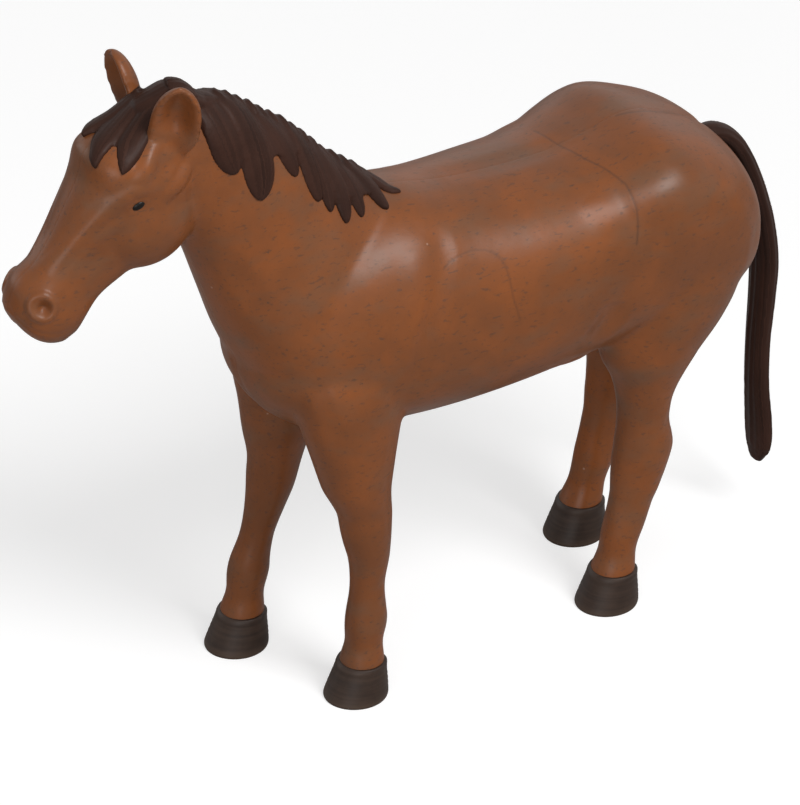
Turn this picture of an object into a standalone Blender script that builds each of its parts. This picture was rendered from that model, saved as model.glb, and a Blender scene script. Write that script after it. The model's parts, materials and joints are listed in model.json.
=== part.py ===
"""A toy horse standing in a slow walk, moulded as hollow plastic shells."""

import math

import bmesh
import bpy
import numpy as np
from mathutils import Matrix, Vector

for old in list(bpy.data.objects):
    bpy.data.objects.remove(old, do_unlink=True)

# Sizes in metres. The head looks along -X, the left flank is on -Y, the ground is z = 0.
# Trunk
TRUNK_LENGTH = 0.1230
TRUNK_DEPTH = 0.0530
TRUNK_WIDTH = 0.0500
BELLY_HEIGHT = 0.0620

# Neck and head: a straight frame for each, hung from the end of the one before
NECK_LENGTH = 0.0600
NECK_DEPTH = 0.0340
NECK_WIDTH = 0.0250
NECK_PITCH = math.radians(-45)
HEAD_LENGTH = 0.0560
HEAD_DEPTH = 0.0240
HEAD_WIDTH = 0.0204
HEAD_PITCH = math.radians(55)
JAW_RADIUS = 0.0124

# Ears, cupped leaves
EAR_LENGTH = 0.0172
EAR_WIDTH = 0.0104
EAR_DEPTH = 0.0040

# Legs: the cannon's thickness drives every other thickness of a leg
CANNON_THICKNESS = 0.0078
FORE_STANCE = 0.0290
HIND_STANCE = 0.0260
STEP_LENGTH = 0.0100

# Hooves
HOOF_HEIGHT = 0.0085
HOOF_LENGTH = 0.0142
HOOF_WIDTH = 0.0130
HOOF_PEG_RADIUS = 0.0013
HOOF_PEG_HEIGHT = 0.0040

# Moulding
WALL = 0.0020
CLEARANCE = 0.0003
WELD_DISTANCE = 0.000001
OVERRUN = 0.0100
SKIN_GRAIN = 0.0011
CORE_GRAIN = 0.0013

# Parting of the belly piece, which carries the inner half of each leg
BELLY_PIECE_WIDTH = 0.0270
BELLY_PIECE_RISE = 0.0120

# Locating pins between the two sides
BOSS_RADIUS = 0.0030
PIN_RADIUS = 0.0014
PIN_REACH = 0.0040

# Mane and forelock
MANE_THICKNESS = 0.0015
FORELOCK_THICKNESS = 0.0011
MANE_PEG_RADIUS = 0.0013
MANE_PEG_DEPTH = 0.0045

# Tail
TAIL_DROP = 0.0880
TAIL_REACH = 0.0170
TAIL_WIDTH = 0.0095
TAIL_THICKNESS = 0.0050
TAIL_PLUG_RADIUS = 0.0022
TAIL_PLUG_DEPTH = 0.0090
TAIL_PLUG_PITCH = math.radians(20)

# Tabs of the belly piece behind the sides' lower edges
TAB_LENGTH = 0.0080
TAB_REACH = 0.0030

# Eyes
EYE_LENGTH = 0.0026
EYE_HEIGHT = 0.0017
EYE_DEPTH = 0.0008
EYE_TILT = math.radians(20)
EYE_SINK = 0.0004
NOSTRIL_RADIUS = 0.0011

# Tables of shares. A form's columns: along, top, bottom, half width, egg, squareness.
# Top and bottom are shares of the form's depth, half width is a share of its width, egg
# widens the upper half, and squareness is 1 for an ellipse.
TRUNK_SHARES = (
    (0.000, 0.51, 0.34, 0.08, 0.00, 1.00),
    (0.012, 0.62, 0.26, 0.18, 0.00, 1.00),
    (0.049, 0.75, 0.14, 0.29, 0.00, 1.10),
    (0.113, 0.89, 0.045, 0.38, 0.00, 1.10),
    (0.194, 0.96, 0.015, 0.43, -0.05, 1.10),
    (0.283, 0.99, 0.00, 0.46, -0.10, 1.10),
    (0.389, 0.94, 0.00, 0.48, -0.05, 1.15),
    (0.502, 0.92, 0.01, 0.50, 0.00, 1.15),
    (0.618, 0.915, 0.04, 0.49, 0.03, 1.25),
    (0.700, 0.945, 0.07, 0.49, 0.06, 1.42),
    (0.775, 0.98, 0.08, 0.50, 0.09, 1.57),
    (0.850, 0.935, 0.08, 0.49, 0.07, 1.47),
    (0.915, 0.86, 0.13, 0.46, 0.04, 1.35),
    (0.960, 0.75, 0.21, 0.39, 0.00, 1.20),
    (0.990, 0.61, 0.34, 0.24, 0.00, 1.00),
    (1.000, 0.53, 0.43, 0.10, 0.00, 1.00),
)
NECK_SHARES = (
    (-0.17, 0.17, -0.24, 0.26, 0.00, 1.00),
    (0.00, 0.375, -0.29, 0.34, -0.10, 1.00),
    (0.17, 0.430, -0.38, 0.39, -0.15, 1.00),
    (0.33, 0.465, -0.50, 0.43, -0.20, 1.00),
    (0.53, 0.460, -0.66, 0.49, -0.25, 1.05),
    (0.73, 0.505, -0.81, 0.59, -0.30, 1.10),
    (0.93, 0.54, -0.90, 0.68, -0.30, 1.10),
    (1.10, 0.41, -0.82, 0.60, -0.30, 1.10),
)
HEAD_SHARES = (
    (-0.050, 0.22, -0.14, 0.18, 0.00, 1.00),
    (-0.010, 0.37, -0.255, 0.30, 0.00, 1.00),
    (0.055, 0.44, -0.305, 0.36, 0.00, 1.10),
    (0.135, 0.46, -0.30, 0.37, 0.00, 1.15),
    (0.210, 0.40, -0.33, 0.33, 0.00, 1.15),
    (0.320, 0.39, -0.47, 0.33, 0.05, 1.20),
    (0.440, 0.42, -0.57, 0.37, 0.08, 1.25),
    (0.570, 0.46, -0.60, 0.45, 0.08, 1.25),
    (0.680, 0.53, -0.58, 0.50, 0.05, 1.20),
    (0.800, 0.32, -0.46, 0.43, 0.00, 1.10),
    (0.910, 0.20, -0.29, 0.34, 0.00, 1.00),
    (1.000, 0.08, -0.10, 0.20, 0.00, 1.00),
)
# A leg's columns: height as a share of the belly's, then front, back and half width as
# shares of the cannon's thickness, and the distance from the middle as a share of the stance.
FORELEG_SHARES = (
    (0.08, 0.66, 0.65, 0.66, 0.500),
    (0.14, 0.63, 0.62, 0.62, 0.500),
    (0.21, 0.53, 0.54, 0.51, 0.500),
    (0.29, 0.59, 0.62, 0.56, 0.500),
    (0.43, 0.50, 0.50, 0.46, 0.493),
    (0.55, 0.59, 0.59, 0.56, 0.490),
    (0.65, 0.74, 0.68, 0.68, 0.483),
    (0.74, 0.80, 0.77, 0.73, 0.476),
    (0.85, 1.03, 0.95, 0.87, 0.470),
    (0.98, 1.28, 1.15, 0.99, 0.468),
    (1.13, 1.55, 1.45, 1.07, 0.455),
    (1.29, 1.67, 1.67, 1.09, 0.431),
    (1.48, 1.15, 1.15, 0.77, 0.345),
)
HINDLEG_SHARES = (
    (0.08, 0.66, 0.65, 0.66, 0.500),
    (0.14, 0.63, 0.62, 0.62, 0.500),
    (0.21, 0.54, 0.55, 0.51, 0.500),
    (0.29, 0.59, 0.62, 0.55, 0.500),
    (0.40, 0.78, 0.60, 0.52, 0.500),
    (0.52, 0.98, 0.74, 0.60, 0.500),
    (0.61, 1.04, 0.78, 0.66, 0.500),
    (0.71, 0.94, 0.61, 0.66, 0.500),
    (0.81, 0.93, 0.67, 0.73, 0.500),
    (0.90, 1.09, 1.02, 0.87, 0.500),
    (1.00, 1.54, 1.50, 1.08, 0.500),
    (1.13, 2.05, 2.00, 1.33, 0.492),
    (1.29, 2.44, 2.22, 1.51, 0.481),
    (1.48, 2.31, 1.86, 1.47, 0.462),
    (1.66, 1.54, 1.10, 1.03, 0.423),
)
# How far each leg swings from straight down: height share, shift as a share of the step.
FORE_LEFT_SWAY_SHARES = (
    (0.0, 0.25), (0.29, 0.38), (0.55, 0.45), (0.73, 0.36), (0.85, 0.17), (1.1, 0.05), (1.7, 0.0),
)
FORE_RIGHT_SWAY_SHARES = (
    (0.0, -1.0), (0.34, -0.72), (0.45, -0.52), (0.61, -0.24), (0.74, -0.14), (1.0, 0.0), (1.7, 0.0),
)
HIND_LEFT_SWAY_SHARES = (
    (0.0, -1.5), (0.27, -1.2), (0.44, -0.8), (0.61, -0.6),
    (0.87, -0.65), (1.0, -0.6), (1.2, -0.2), (1.7, 0.1),
)
HIND_RIGHT_SWAY_SHARES = (
    (0.0, -0.7), (0.33, -0.1), (0.5, 0.33), (0.61, 0.44),
    (0.71, 0.36), (0.87, 0.05), (1.0, -0.2), (1.7, 0.1),
)
FORE_PLACE_SHARE = 0.162
HIND_PLACE_SHARE = 0.826
NECK_PLACE_SHARES = (-0.113, 1.434)
HEAD_PLACE_SHARES = (-0.59, -0.57)
JAW_PLACE_SHARES = (0.543, 0.05, -0.285)
JAW_FLAT_SHARE = 0.48

# An ear's columns: along, half width, depth, cup depth.
EAR_SHARES = (
    (-0.22, 0.30, 0.45, 0.00),
    (0.00, 0.42, 0.60, 0.05),
    (0.22, 0.49, 0.80, 0.45),
    (0.50, 0.50, 0.90, 0.60),
    (0.74, 0.43, 0.80, 0.45),
    (0.92, 0.25, 0.55, 0.15),
    (1.00, 0.08, 0.25, 0.00),
)
EAR_RIM_SHARE = 0.25
EAR_PLACE_SHARES = (0.81, 0.37, -0.02)
EAR_MOUTH_SHARES = (-0.76, 0.64, 0.10)

# Each ear: side, length and width as shares of the ear's sizes, and its axis.
EAR_SIDE_SHARES = (
    (-1, 1.00, 1.00, (-0.01, -0.28, 0.96)),
    (1, 0.90, 1.12, (-0.19, 0.28, 0.95)),
)

# A hoof's columns: height, then how far its half length and half width have flared, and lean.
HOOF_SHARES = (
    (0.00, 1.00, 1.00, 0.10),
    (0.12, 0.96, 0.96, 0.09),
    (0.80, 0.25, 0.25, 0.02),
    (1.00, 0.00, 0.00, 0.00),
)
LOCK_TIP_SHARE = 0.22

# Mane locks on the left, in the neck's frame: tip and then the gap behind it.
MANE_FRONT_SHARES = (
    (-0.45, 0.75), (-0.16, 0.30), (-0.08, 0.26), (-0.06, 0.17), (-0.01, 0.10), (0.05, 0.085),
)
MANE_LOCK_SHARES = (
    ((0.13, 0.07), (0.15, 0.10)),
    ((0.28, 0.04), (0.28, 0.28)),
    ((0.39, 0.26), (0.37, 0.39)),
    ((0.53, 0.23), (0.54, 0.33)),
    ((0.59, 0.21), (0.61, 0.27)),
    ((0.67, 0.22), (0.68, 0.33)),
    ((0.73, 0.30), (0.73, 0.41)),
    ((0.83, 0.43), (0.80, 0.50)),
)
MANE_END_SHARES = ((0.88, 0.55), (0.86, 0.64), (0.70, 0.75))
MANE_FAR_COUNT = 9
# The far locks' tips: height at the mane's ends, sag in its middle, and the gaps' rise.
MANE_FAR_SHARES = (0.32, 0.168, 0.14)
MANE_FAR_FRONT_SHARE = 0.30
FORELOCK_SHARES = (
    (1.12, 0.26), (0.90, 0.36), (0.84, 0.36), (0.77, 0.30), (0.71, 0.23), (0.73, 0.15), (0.75, 0.05),
    (0.63, -0.20), (0.76, -0.22), (0.66, -0.41), (0.76, -0.36), (0.84, -0.285), (1.12, -0.20),
)

# Tail: along the drop, reach out behind, half width, half thickness.
TAIL_SHARES = (
    (0.029, -0.238, 0.60, 0.80),
    (0.014, -0.032, 0.66, 0.92),
    (0.026, 0.174, 0.70, 0.95),
    (0.063, 0.368, 0.74, 0.98),
    (0.120, 0.539, 0.80, 1.00),
    (0.205, 0.715, 0.86, 1.00),
    (0.308, 0.868, 0.93, 1.00),
    (0.421, 0.957, 0.96, 0.98),
    (0.535, 0.957, 0.88, 0.92),
    (0.660, 0.933, 0.82, 0.88),
    (0.785, 0.951, 0.86, 0.90),
    (0.899, 1.009, 0.97, 0.96),
    (0.972, 1.033, 0.88, 0.88),
    (1.019, 1.004, 0.45, 0.50),
)
TAIL_PLACE_SHARES = (0.955, 0.775)

BOSS_PLACE_SHARES = ((0.20, 0.72), (0.48, 0.62), (0.76, 0.66))
NECK_BOSS_SHARES = (0.28, -0.02)
HEAD_BOSS_SHARES = (0.40, -0.05)
MANE_PEG_SHARES = (0.12, 0.34, 0.56)
EYE_PLACE_SHARES = (0.588, 0.46, 0.051)
NOSTRIL_PLACE_SHARES = (0.102, 0.27, 0.265)
BELLY_PIECE_SHARES = (0.113, 0.907)
TAB_PLACE_SHARES = (0.33, 0.66)
SHARP_ANGLE = math.radians(40)
SKIN_KEEP_SHARE = 0.058
CORE_KEEP_SHARE = 0.030


def material(name, color, roughness):
    """A plastic with one colour."""
    plastic = bpy.data.materials.new(name)
    plastic.use_nodes = True
    shader = plastic.node_tree.nodes["Principled BSDF"]
    shader.inputs["Base Color"].default_value = (*color, 1.0)
    shader.inputs["Roughness"].default_value = roughness
    shader.inputs["Metallic"].default_value = 0.0
    return plastic


BROWN = material("brown_plastic", (0.235, 0.090, 0.036), 0.38)
DARK = material("dark_brown_plastic", (0.040, 0.022, 0.017), 0.55)
BLACK = material("black_plastic", (0.010, 0.009, 0.009), 0.25)


def new_object(name, mesh):
    """Put a mesh in the scene as an object of its own."""
    thing = bpy.data.objects.new(name, mesh)
    bpy.context.collection.objects.link(thing)
    return thing


def drop(*things):
    """Take helper objects out of the scene."""
    for thing in things:
        bpy.data.objects.remove(thing, do_unlink=True)


def applied(thing, name):
    """A new object with the mesh that the modifiers give; the old one goes."""
    depsgraph = bpy.context.evaluated_depsgraph_get()
    mesh = bpy.data.meshes.new_from_object(thing.evaluated_get(depsgraph))
    drop(thing)
    mesh.name = name
    return new_object(name, mesh)


def combined(thing, tool, operation, keep_tool=False):
    """The object after one exact Boolean with the tool."""
    change = thing.modifiers.new("change", "BOOLEAN")
    change.operation = operation
    change.solver = "EXACT"
    change.object = tool
    result = applied(thing, thing.name)
    if not keep_tool:
        drop(tool)
    return result


def copy_of(thing, name):
    """An independent copy of an object and its mesh."""
    return new_object(name, thing.data.copy())


def smooth_rows(rows, steps):
    """A table's rows with steps more between each two, along a smooth curve."""
    rows = np.array(rows, float)
    last = len(rows) - 1
    fine = []
    for i in range(last):
        before, here, there, after = rows[max(i - 1, 0)], rows[i], rows[i + 1], rows[min(i + 2, last)]
        span = there[0] - here[0]
        leave = (there - before) / (there[0] - before[0]) * span
        arrive = (after - here) / (after[0] - here[0]) * span
        for k in range(steps):
            t = k / steps
            row = (2 * t**3 - 3 * t**2 + 1) * here + (t**3 - 2 * t**2 + t) * leave
            row = row + (3 * t**2 - 2 * t**3) * there + (t**3 - t**2) * arrive
            row[0] = here[0] + t * span
            fine.append(row)
    fine.append(rows[last])
    return fine


def rounded(angle, squareness):
    """Cosine and sine of an angle, pushed out towards a square."""
    wave = []
    for value in (math.cos(angle), math.sin(angle)):
        wave.append(math.copysign(abs(value) ** (1 / squareness), value))
    return wave


def closed_loft(name, rings):
    """A closed body through rings of points, each ring with as many points."""
    shape = bmesh.new()
    made = [[shape.verts.new(point) for point in ring] for ring in rings]
    count = len(made[0])
    for near, far in zip(made, made[1:]):
        for i in range(count):
            j = (i + 1) % count
            shape.faces.new((near[i], near[j], far[j], far[i]))
    shape.faces.new(reversed(made[0]))
    shape.faces.new(made[-1])
    if shape.calc_volume(signed=True) < 0:
        bmesh.ops.reverse_faces(shape, faces=shape.faces)
    mesh = bpy.data.meshes.new(name)
    shape.to_mesh(mesh)
    shape.free()
    return new_object(name, mesh)


def in_frame(origin, pitch):
    """A function that turns along, side and across into a point of a pitched frame."""
    forward = Vector((math.cos(pitch), 0, math.sin(pitch)))
    upward = Vector((-math.sin(pitch), 0, math.cos(pitch)))
    start = Vector((origin[0], 0, origin[1]))

    def place(along, side, across):
        return start + forward * along + upward * across + Vector((0, side, 0))

    return place


# Where the frames stand
CHEST_X = -FORE_PLACE_SHARE * TRUNK_LENGTH
FORE_X = CHEST_X + FORE_PLACE_SHARE * TRUNK_LENGTH
HIND_X = CHEST_X + HIND_PLACE_SHARE * TRUNK_LENGTH
TRUNK_PLACE = in_frame((CHEST_X, BELLY_HEIGHT), 0.0)
NECK_ORIGIN = TRUNK_PLACE(NECK_PLACE_SHARES[0] * TRUNK_LENGTH, 0, NECK_PLACE_SHARES[1] * TRUNK_DEPTH)
NECK_PLACE = in_frame((NECK_ORIGIN.x, NECK_ORIGIN.z), NECK_PITCH)
HEAD_X = NECK_ORIGIN.x + HEAD_PLACE_SHARES[0] * HEAD_LENGTH
HEAD_Z = NECK_ORIGIN.z + HEAD_PLACE_SHARES[1] * HEAD_LENGTH
HEAD_PLACE = in_frame((HEAD_X, HEAD_Z), HEAD_PITCH)


def body_form(name, place, size, shares, inset, sides=32):
    """A trunk, neck or head, its section pulled in by the inset."""
    length, depth, width = size
    first = shares[0][0] * length
    span = shares[-1][0] * length - first
    rings = []
    for along, top, bottom, half, egg, square in smooth_rows(shares, 4):
        top = top * depth - inset
        bottom = bottom * depth + inset
        half = half * width - inset
        if top - bottom < WALL or half < WALL / 2:
            continue
        along = first + inset + (along * length - first) * (span - 2 * inset) / span
        ring = []
        for i in range(sides):
            across, up = rounded(2 * math.pi * i / sides, square)
            height = (top + bottom) / 2 + (top - bottom) / 2 * up
            ring.append(place(along, half * across * (1 + egg * up), height))
        rings.append(ring)
    return closed_loft(name, rings)


def sway(height_share, table):
    """A leg's fore and aft shift at a height."""
    heights = [row[0] for row in table]
    shifts = [row[1] for row in table]
    return float(np.interp(height_share, heights, shifts)) * STEP_LENGTH


def leg_form(name, hip_x, side, stance, shares, sway_shares, inset, sides=24):
    """A leg from the coronet up into the trunk, its section pulled in by the inset."""
    rings = []
    for height, front, back, half, out in smooth_rows(shares, 4):
        middle = hip_x + sway(height, sway_shares)
        front = front * CANNON_THICKNESS - inset
        back = back * CANNON_THICKNESS - inset
        half = half * CANNON_THICKNESS - inset
        ring = []
        for i in range(sides):
            angle = 2 * math.pi * i / sides
            reach = back if math.cos(angle) > 0 else front
            point = (
                middle + reach * math.cos(angle),
                side * stance * out + half * math.sin(angle),
                height * BELLY_HEIGHT,
            )
            ring.append(Vector(point))
        rings.append(ring)
    return closed_loft(name, rings)


def jaw_form(name, side, inset, sides=24):
    """One cheek, a flattened ball beside the throat."""
    along, out, across = JAW_PLACE_SHARES
    centre = HEAD_PLACE(along * HEAD_LENGTH, side * out * HEAD_WIDTH, across * HEAD_DEPTH)
    radius = JAW_RADIUS - inset
    flat = JAW_FLAT_SHARE * HEAD_WIDTH - inset
    shape = bmesh.new()
    bmesh.ops.create_uvsphere(shape, u_segments=sides, v_segments=sides // 2, radius=1)
    size = Matrix.Diagonal((radius, flat, radius, 1))
    bmesh.ops.transform(shape, matrix=Matrix.Translation(centre) @ size, verts=shape.verts)
    mesh = bpy.data.meshes.new(name)
    shape.to_mesh(mesh)
    shape.free()
    return new_object(name, mesh)


LEGS = (
    ("fore_left", FORE_X, -1, FORE_STANCE, FORELEG_SHARES, FORE_LEFT_SWAY_SHARES),
    ("fore_right", FORE_X, 1, FORE_STANCE, FORELEG_SHARES, FORE_RIGHT_SWAY_SHARES),
    ("hind_left", HIND_X, -1, HIND_STANCE, HINDLEG_SHARES, HIND_LEFT_SWAY_SHARES),
    ("hind_right", HIND_X, 1, HIND_STANCE, HINDLEG_SHARES, HIND_RIGHT_SWAY_SHARES),
)


def figure_skin(name, inset, grain, rounds):
    """The whole figure but for its ears, mane and tail, as one blended closed skin."""
    forms = [
        body_form("trunk", TRUNK_PLACE, (TRUNK_LENGTH, TRUNK_DEPTH, TRUNK_WIDTH), TRUNK_SHARES, inset),
        body_form("neck", NECK_PLACE, (NECK_LENGTH, NECK_DEPTH, NECK_WIDTH), NECK_SHARES, inset),
        body_form("head", HEAD_PLACE, (HEAD_LENGTH, HEAD_DEPTH, HEAD_WIDTH), HEAD_SHARES, inset),
    ]
    forms += [leg_form(leg[0], *leg[1:], inset) for leg in LEGS]
    forms += [jaw_form("jaw", side, inset) for side in (-1, 1)]
    gathered = bmesh.new()
    for form in forms:
        gathered.from_mesh(form.data)
    mesh = bpy.data.meshes.new(name)
    gathered.to_mesh(mesh)
    gathered.free()
    drop(*forms)
    skin = new_object(name, mesh)
    remesh = skin.modifiers.new("one skin", "REMESH")
    remesh.mode = "VOXEL"
    remesh.voxel_size = grain
    ease = skin.modifiers.new("ease the joins", "SMOOTH")
    ease.factor = 0.5
    ease.iterations = rounds
    return applied(skin, name)


def thinned(thing, share):
    """The object with fewer triangles."""
    fewer = thing.modifiers.new("fewer triangles", "DECIMATE")
    fewer.ratio = share
    return applied(thing, thing.name)


def swollen(thing, name, distance):
    """A copy of a skin moved out along its own normals."""
    grown = copy_of(thing, name)
    push = grown.modifiers.new("push", "DISPLACE")
    push.strength = distance
    push.mid_level = 0.0
    return applied(grown, name)


def prism(name, outline, place, low, high):
    """A straight prism over an outline; place turns two outline shares and a depth into a point."""
    rings = [[place(a, b, depth) for a, b in outline] for depth in (low, high)]
    return closed_loft(name, rings)


def rod(name, start, end, radius, sides=12):
    """A round rod between two points."""
    start, end = Vector(start), Vector(end)
    axis = (end - start).normalized()
    one = axis.orthogonal().normalized()
    two = axis.cross(one)
    rings = []
    for point in (start, end):
        ring = []
        for i in range(sides):
            angle = 2 * math.pi * i / sides
            ring.append(point + (one * math.cos(angle) + two * math.sin(angle)) * radius)
        rings.append(ring)
    return closed_loft(name, rings)


def block(name, low, high):
    """A box between two corners."""
    outline = ((low[0], low[2]), (high[0], low[2]), (high[0], high[2]), (low[0], high[2]))
    return prism(name, outline, lambda x, z, y: Vector((x, y, z)), low[1], high[1])


def largest_body(thing):
    """Keep only the largest of the separate bodies in an object."""
    shape = bmesh.new()
    shape.from_mesh(thing.data)
    bmesh.ops.remove_doubles(shape, verts=shape.verts, dist=WELD_DISTANCE)
    bmesh.ops.triangulate(shape, faces=shape.faces)
    bmesh.ops.dissolve_degenerate(shape, edges=shape.edges, dist=WELD_DISTANCE)
    stray = [edge for edge in shape.edges if not edge.link_faces]
    bmesh.ops.delete(shape, geom=stray, context="EDGES")
    left = set(shape.verts)
    bodies = []
    while left:
        seed = left.pop()
        body, edge = [seed], [seed]
        while edge:
            corner = edge.pop()
            for link in corner.link_edges:
                other = link.other_vert(corner)
                if other in left:
                    left.remove(other)
                    body.append(other)
                    edge.append(other)
        bodies.append(body)
    bodies.sort(key=len)
    spare = [vertex for body in bodies[:-1] for vertex in body]
    bmesh.ops.delete(shape, geom=spare, context="VERTS")
    open_edges = [edge for edge in shape.edges if len(edge.link_faces) == 1]
    if open_edges:
        bmesh.ops.holes_fill(shape, edges=open_edges, sides=0)
    bmesh.ops.triangulate(shape, faces=shape.faces)
    shape.to_mesh(thing.data)
    shape.free()


def ear_form(name, ear, grow=0.0, sides=18):
    """One ear, a leaf with a cupped front and a thick rim."""
    side, length, width, axis = ear
    along, out, across = EAR_PLACE_SHARES
    base = HEAD_PLACE(along * HEAD_LENGTH, side * out * HEAD_WIDTH, across * HEAD_DEPTH)
    axis = Vector(axis).normalized()
    mouth = Vector((EAR_MOUTH_SHARES[0], side * EAR_MOUTH_SHARES[1], EAR_MOUTH_SHARES[2]))
    wide = axis.cross(mouth).normalized()
    mouth = wide.cross(axis)
    rings = []
    for height, half, depth, cup in smooth_rows(EAR_SHARES, 2):
        ring = []
        for i in range(sides):
            angle = 2 * math.pi * i / sides
            lift = math.sin(angle)
            if lift < 0:
                front = depth * EAR_DEPTH * lift - grow
            else:
                rim = EAR_RIM_SHARE * depth * math.sqrt(lift)
                front = (rim - (cup + rim) * lift**3) * EAR_DEPTH + grow
            sideways = (half * width * EAR_WIDTH + grow) * math.cos(angle)
            ring.append(base + axis * (height * length * EAR_LENGTH) + wide * sideways + mouth * front)
        rings.append(ring)
    return closed_loft(name, rings)


def hoof_peg(leg, grow=0.0):
    """The round peg that stands from a hoof into its leg."""
    name, hip_x, side, stance, shares, sway_shares = leg
    x = hip_x + sway(HOOF_HEIGHT / BELLY_HEIGHT, sway_shares)
    out = side * stance * shares[0][4]
    top = HOOF_HEIGHT + HOOF_PEG_HEIGHT + grow
    return rod("peg", (x, out, HOOF_HEIGHT / 2), (x, out, top), HOOF_PEG_RADIUS + grow, 10)


def hoof(leg, sides=20):
    """A hoof with a flat sole, flared towards the ground, with a peg into the leg."""
    name, hip_x, side, stance, shares, sway_shares = leg
    top_x = hip_x + sway(HOOF_HEIGHT / BELLY_HEIGHT, sway_shares)
    half_length = shares[0][1] * CANNON_THICKNESS
    half_width = shares[0][3] * CANNON_THICKNESS
    out = side * stance * shares[0][4]
    rings = []
    for height, length_share, width_share, lean in HOOF_SHARES:
        length = half_length + (HOOF_LENGTH / 2 - half_length) * length_share
        width = half_width + (HOOF_WIDTH / 2 - half_width) * width_share
        ring = []
        for i in range(sides):
            angle = 2 * math.pi * i / sides
            x = top_x - lean * HOOF_LENGTH + length * math.cos(angle)
            ring.append(Vector((x, out + width * math.sin(angle), height * HOOF_HEIGHT)))
        rings.append(ring)
    return combined(closed_loft("hoof_" + name, rings), hoof_peg(leg), "UNION")


def tail_form(name, sides=14):
    """The hanging tail, from inside the rump to its tip."""
    root = TRUNK_PLACE(TAIL_PLACE_SHARES[0] * TRUNK_LENGTH, 0, TAIL_PLACE_SHARES[1] * TRUNK_DEPTH)
    middles = [root + Vector((row[1] * TAIL_REACH, 0, -row[0] * TAIL_DROP)) for row in TAIL_SHARES]
    places = enumerate(zip(middles, TAIL_SHARES))
    path = smooth_rows([(index, *middle, row[2], row[3]) for index, (middle, row) in places], 2)
    rings = []
    for index, row in enumerate(path):
        ahead = path[min(index + 1, len(path) - 1)]
        behind = path[max(index - 1, 0)]
        course = Vector((ahead[1] - behind[1], 0, ahead[3] - behind[3])).normalized()
        outward = course.cross(Vector((0, 1, 0)))
        middle = Vector((row[1], row[2], row[3]))
        ring = []
        for i in range(sides):
            angle = 2 * math.pi * i / sides
            sideways = Vector((0, math.cos(angle) * row[4] * TAIL_WIDTH / 2, 0))
            ring.append(middle + sideways + outward * (math.sin(angle) * row[5] * TAIL_THICKNESS / 2))
        rings.append(ring)
    return closed_loft(name, rings)


def surface_point(place):
    """The point of the skin nearest to a place, and the skin's normal there."""
    found, point, normal, face = skin.closest_point_on_mesh(place)
    return point, normal


def eye_form(name, side, grow=0.0):
    """One eye, a small lens sunk in the cheek."""
    along, out, across = EYE_PLACE_SHARES
    spot = HEAD_PLACE(along * HEAD_LENGTH, side * out * HEAD_WIDTH, across * HEAD_DEPTH)
    point, normal = surface_point(spot)
    level = Vector((math.cos(EYE_TILT), 0, math.sin(EYE_TILT)))
    level = (level - normal * level.dot(normal)).normalized()
    turn = Matrix((level, normal.cross(level), normal)).transposed().to_4x4()
    size = Matrix.Diagonal((EYE_LENGTH / 2 + grow, EYE_HEIGHT / 2 + grow, EYE_DEPTH + grow, 1))
    shape = bmesh.new()
    bmesh.ops.create_uvsphere(shape, u_segments=12, v_segments=6, radius=1)
    place = Matrix.Translation(point - normal * EYE_SINK) @ turn @ size
    bmesh.ops.transform(shape, matrix=place, verts=shape.verts)
    mesh = bpy.data.meshes.new(name)
    shape.to_mesh(mesh)
    shape.free()
    return new_object(name, mesh)


def ball(name, centre, radius):
    """A round ball."""
    shape = bmesh.new()
    bmesh.ops.create_uvsphere(shape, u_segments=10, v_segments=6, radius=radius)
    bmesh.ops.translate(shape, vec=centre, verts=shape.verts)
    mesh = bpy.data.meshes.new(name)
    shape.to_mesh(mesh)
    shape.free()
    return new_object(name, mesh)


def lock_outline(front, locks, end):
    """The mane's outline: down its front edge, round each lock's tip, and back up."""
    points = list(front)
    last = front[-1]
    for tip, gap in locks:
        for near in (last, gap):
            points.append(tuple(t + LOCK_TIP_SHARE * (n - t) for t, n in zip(tip, near)))
            if near is last:
                points.append(tip)
        points.append(gap)
        last = gap
    return points + list(end)


# The skin, and the space inside it
skin = thinned(figure_skin("skin", 0.0, SKIN_GRAIN, 6), SKIN_KEEP_SHARE)
hollow = thinned(figure_skin("hollow", WALL, CORE_GRAIN, 2), CORE_KEEP_SHARE)
clear_skin = swollen(skin, "clear skin", CLEARANCE)

# Tail, its plug and its socket
TAIL_ROOT = TRUNK_PLACE(TAIL_PLACE_SHARES[0] * TRUNK_LENGTH, 0, TAIL_PLACE_SHARES[1] * TRUNK_DEPTH)
PLUG_OUT = TAIL_ROOT + Vector((TAIL_SHARES[2][1] * TAIL_REACH, 0, -TAIL_SHARES[2][0] * TAIL_DROP))
PLUG_AXIS = Vector((-math.cos(TAIL_PLUG_PITCH), 0, -math.sin(TAIL_PLUG_PITCH)))
PLUG_IN = PLUG_OUT + PLUG_AXIS * (TAIL_PLUG_DEPTH + TAIL_THICKNESS)
tail = combined(tail_form("tail"), copy_of(clear_skin, "cut"), "DIFFERENCE")
tail = combined(tail, rod("plug", PLUG_OUT, PLUG_IN, TAIL_PLUG_RADIUS), "UNION")
socket = rod("socket", PLUG_OUT, PLUG_IN + PLUG_AXIS * WALL, TAIL_PLUG_RADIUS + CLEARANCE + WALL)
plug_hole = rod("plug hole", PLUG_OUT, PLUG_IN + PLUG_AXIS * CLEARANCE, TAIL_PLUG_RADIUS + CLEARANCE)

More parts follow.
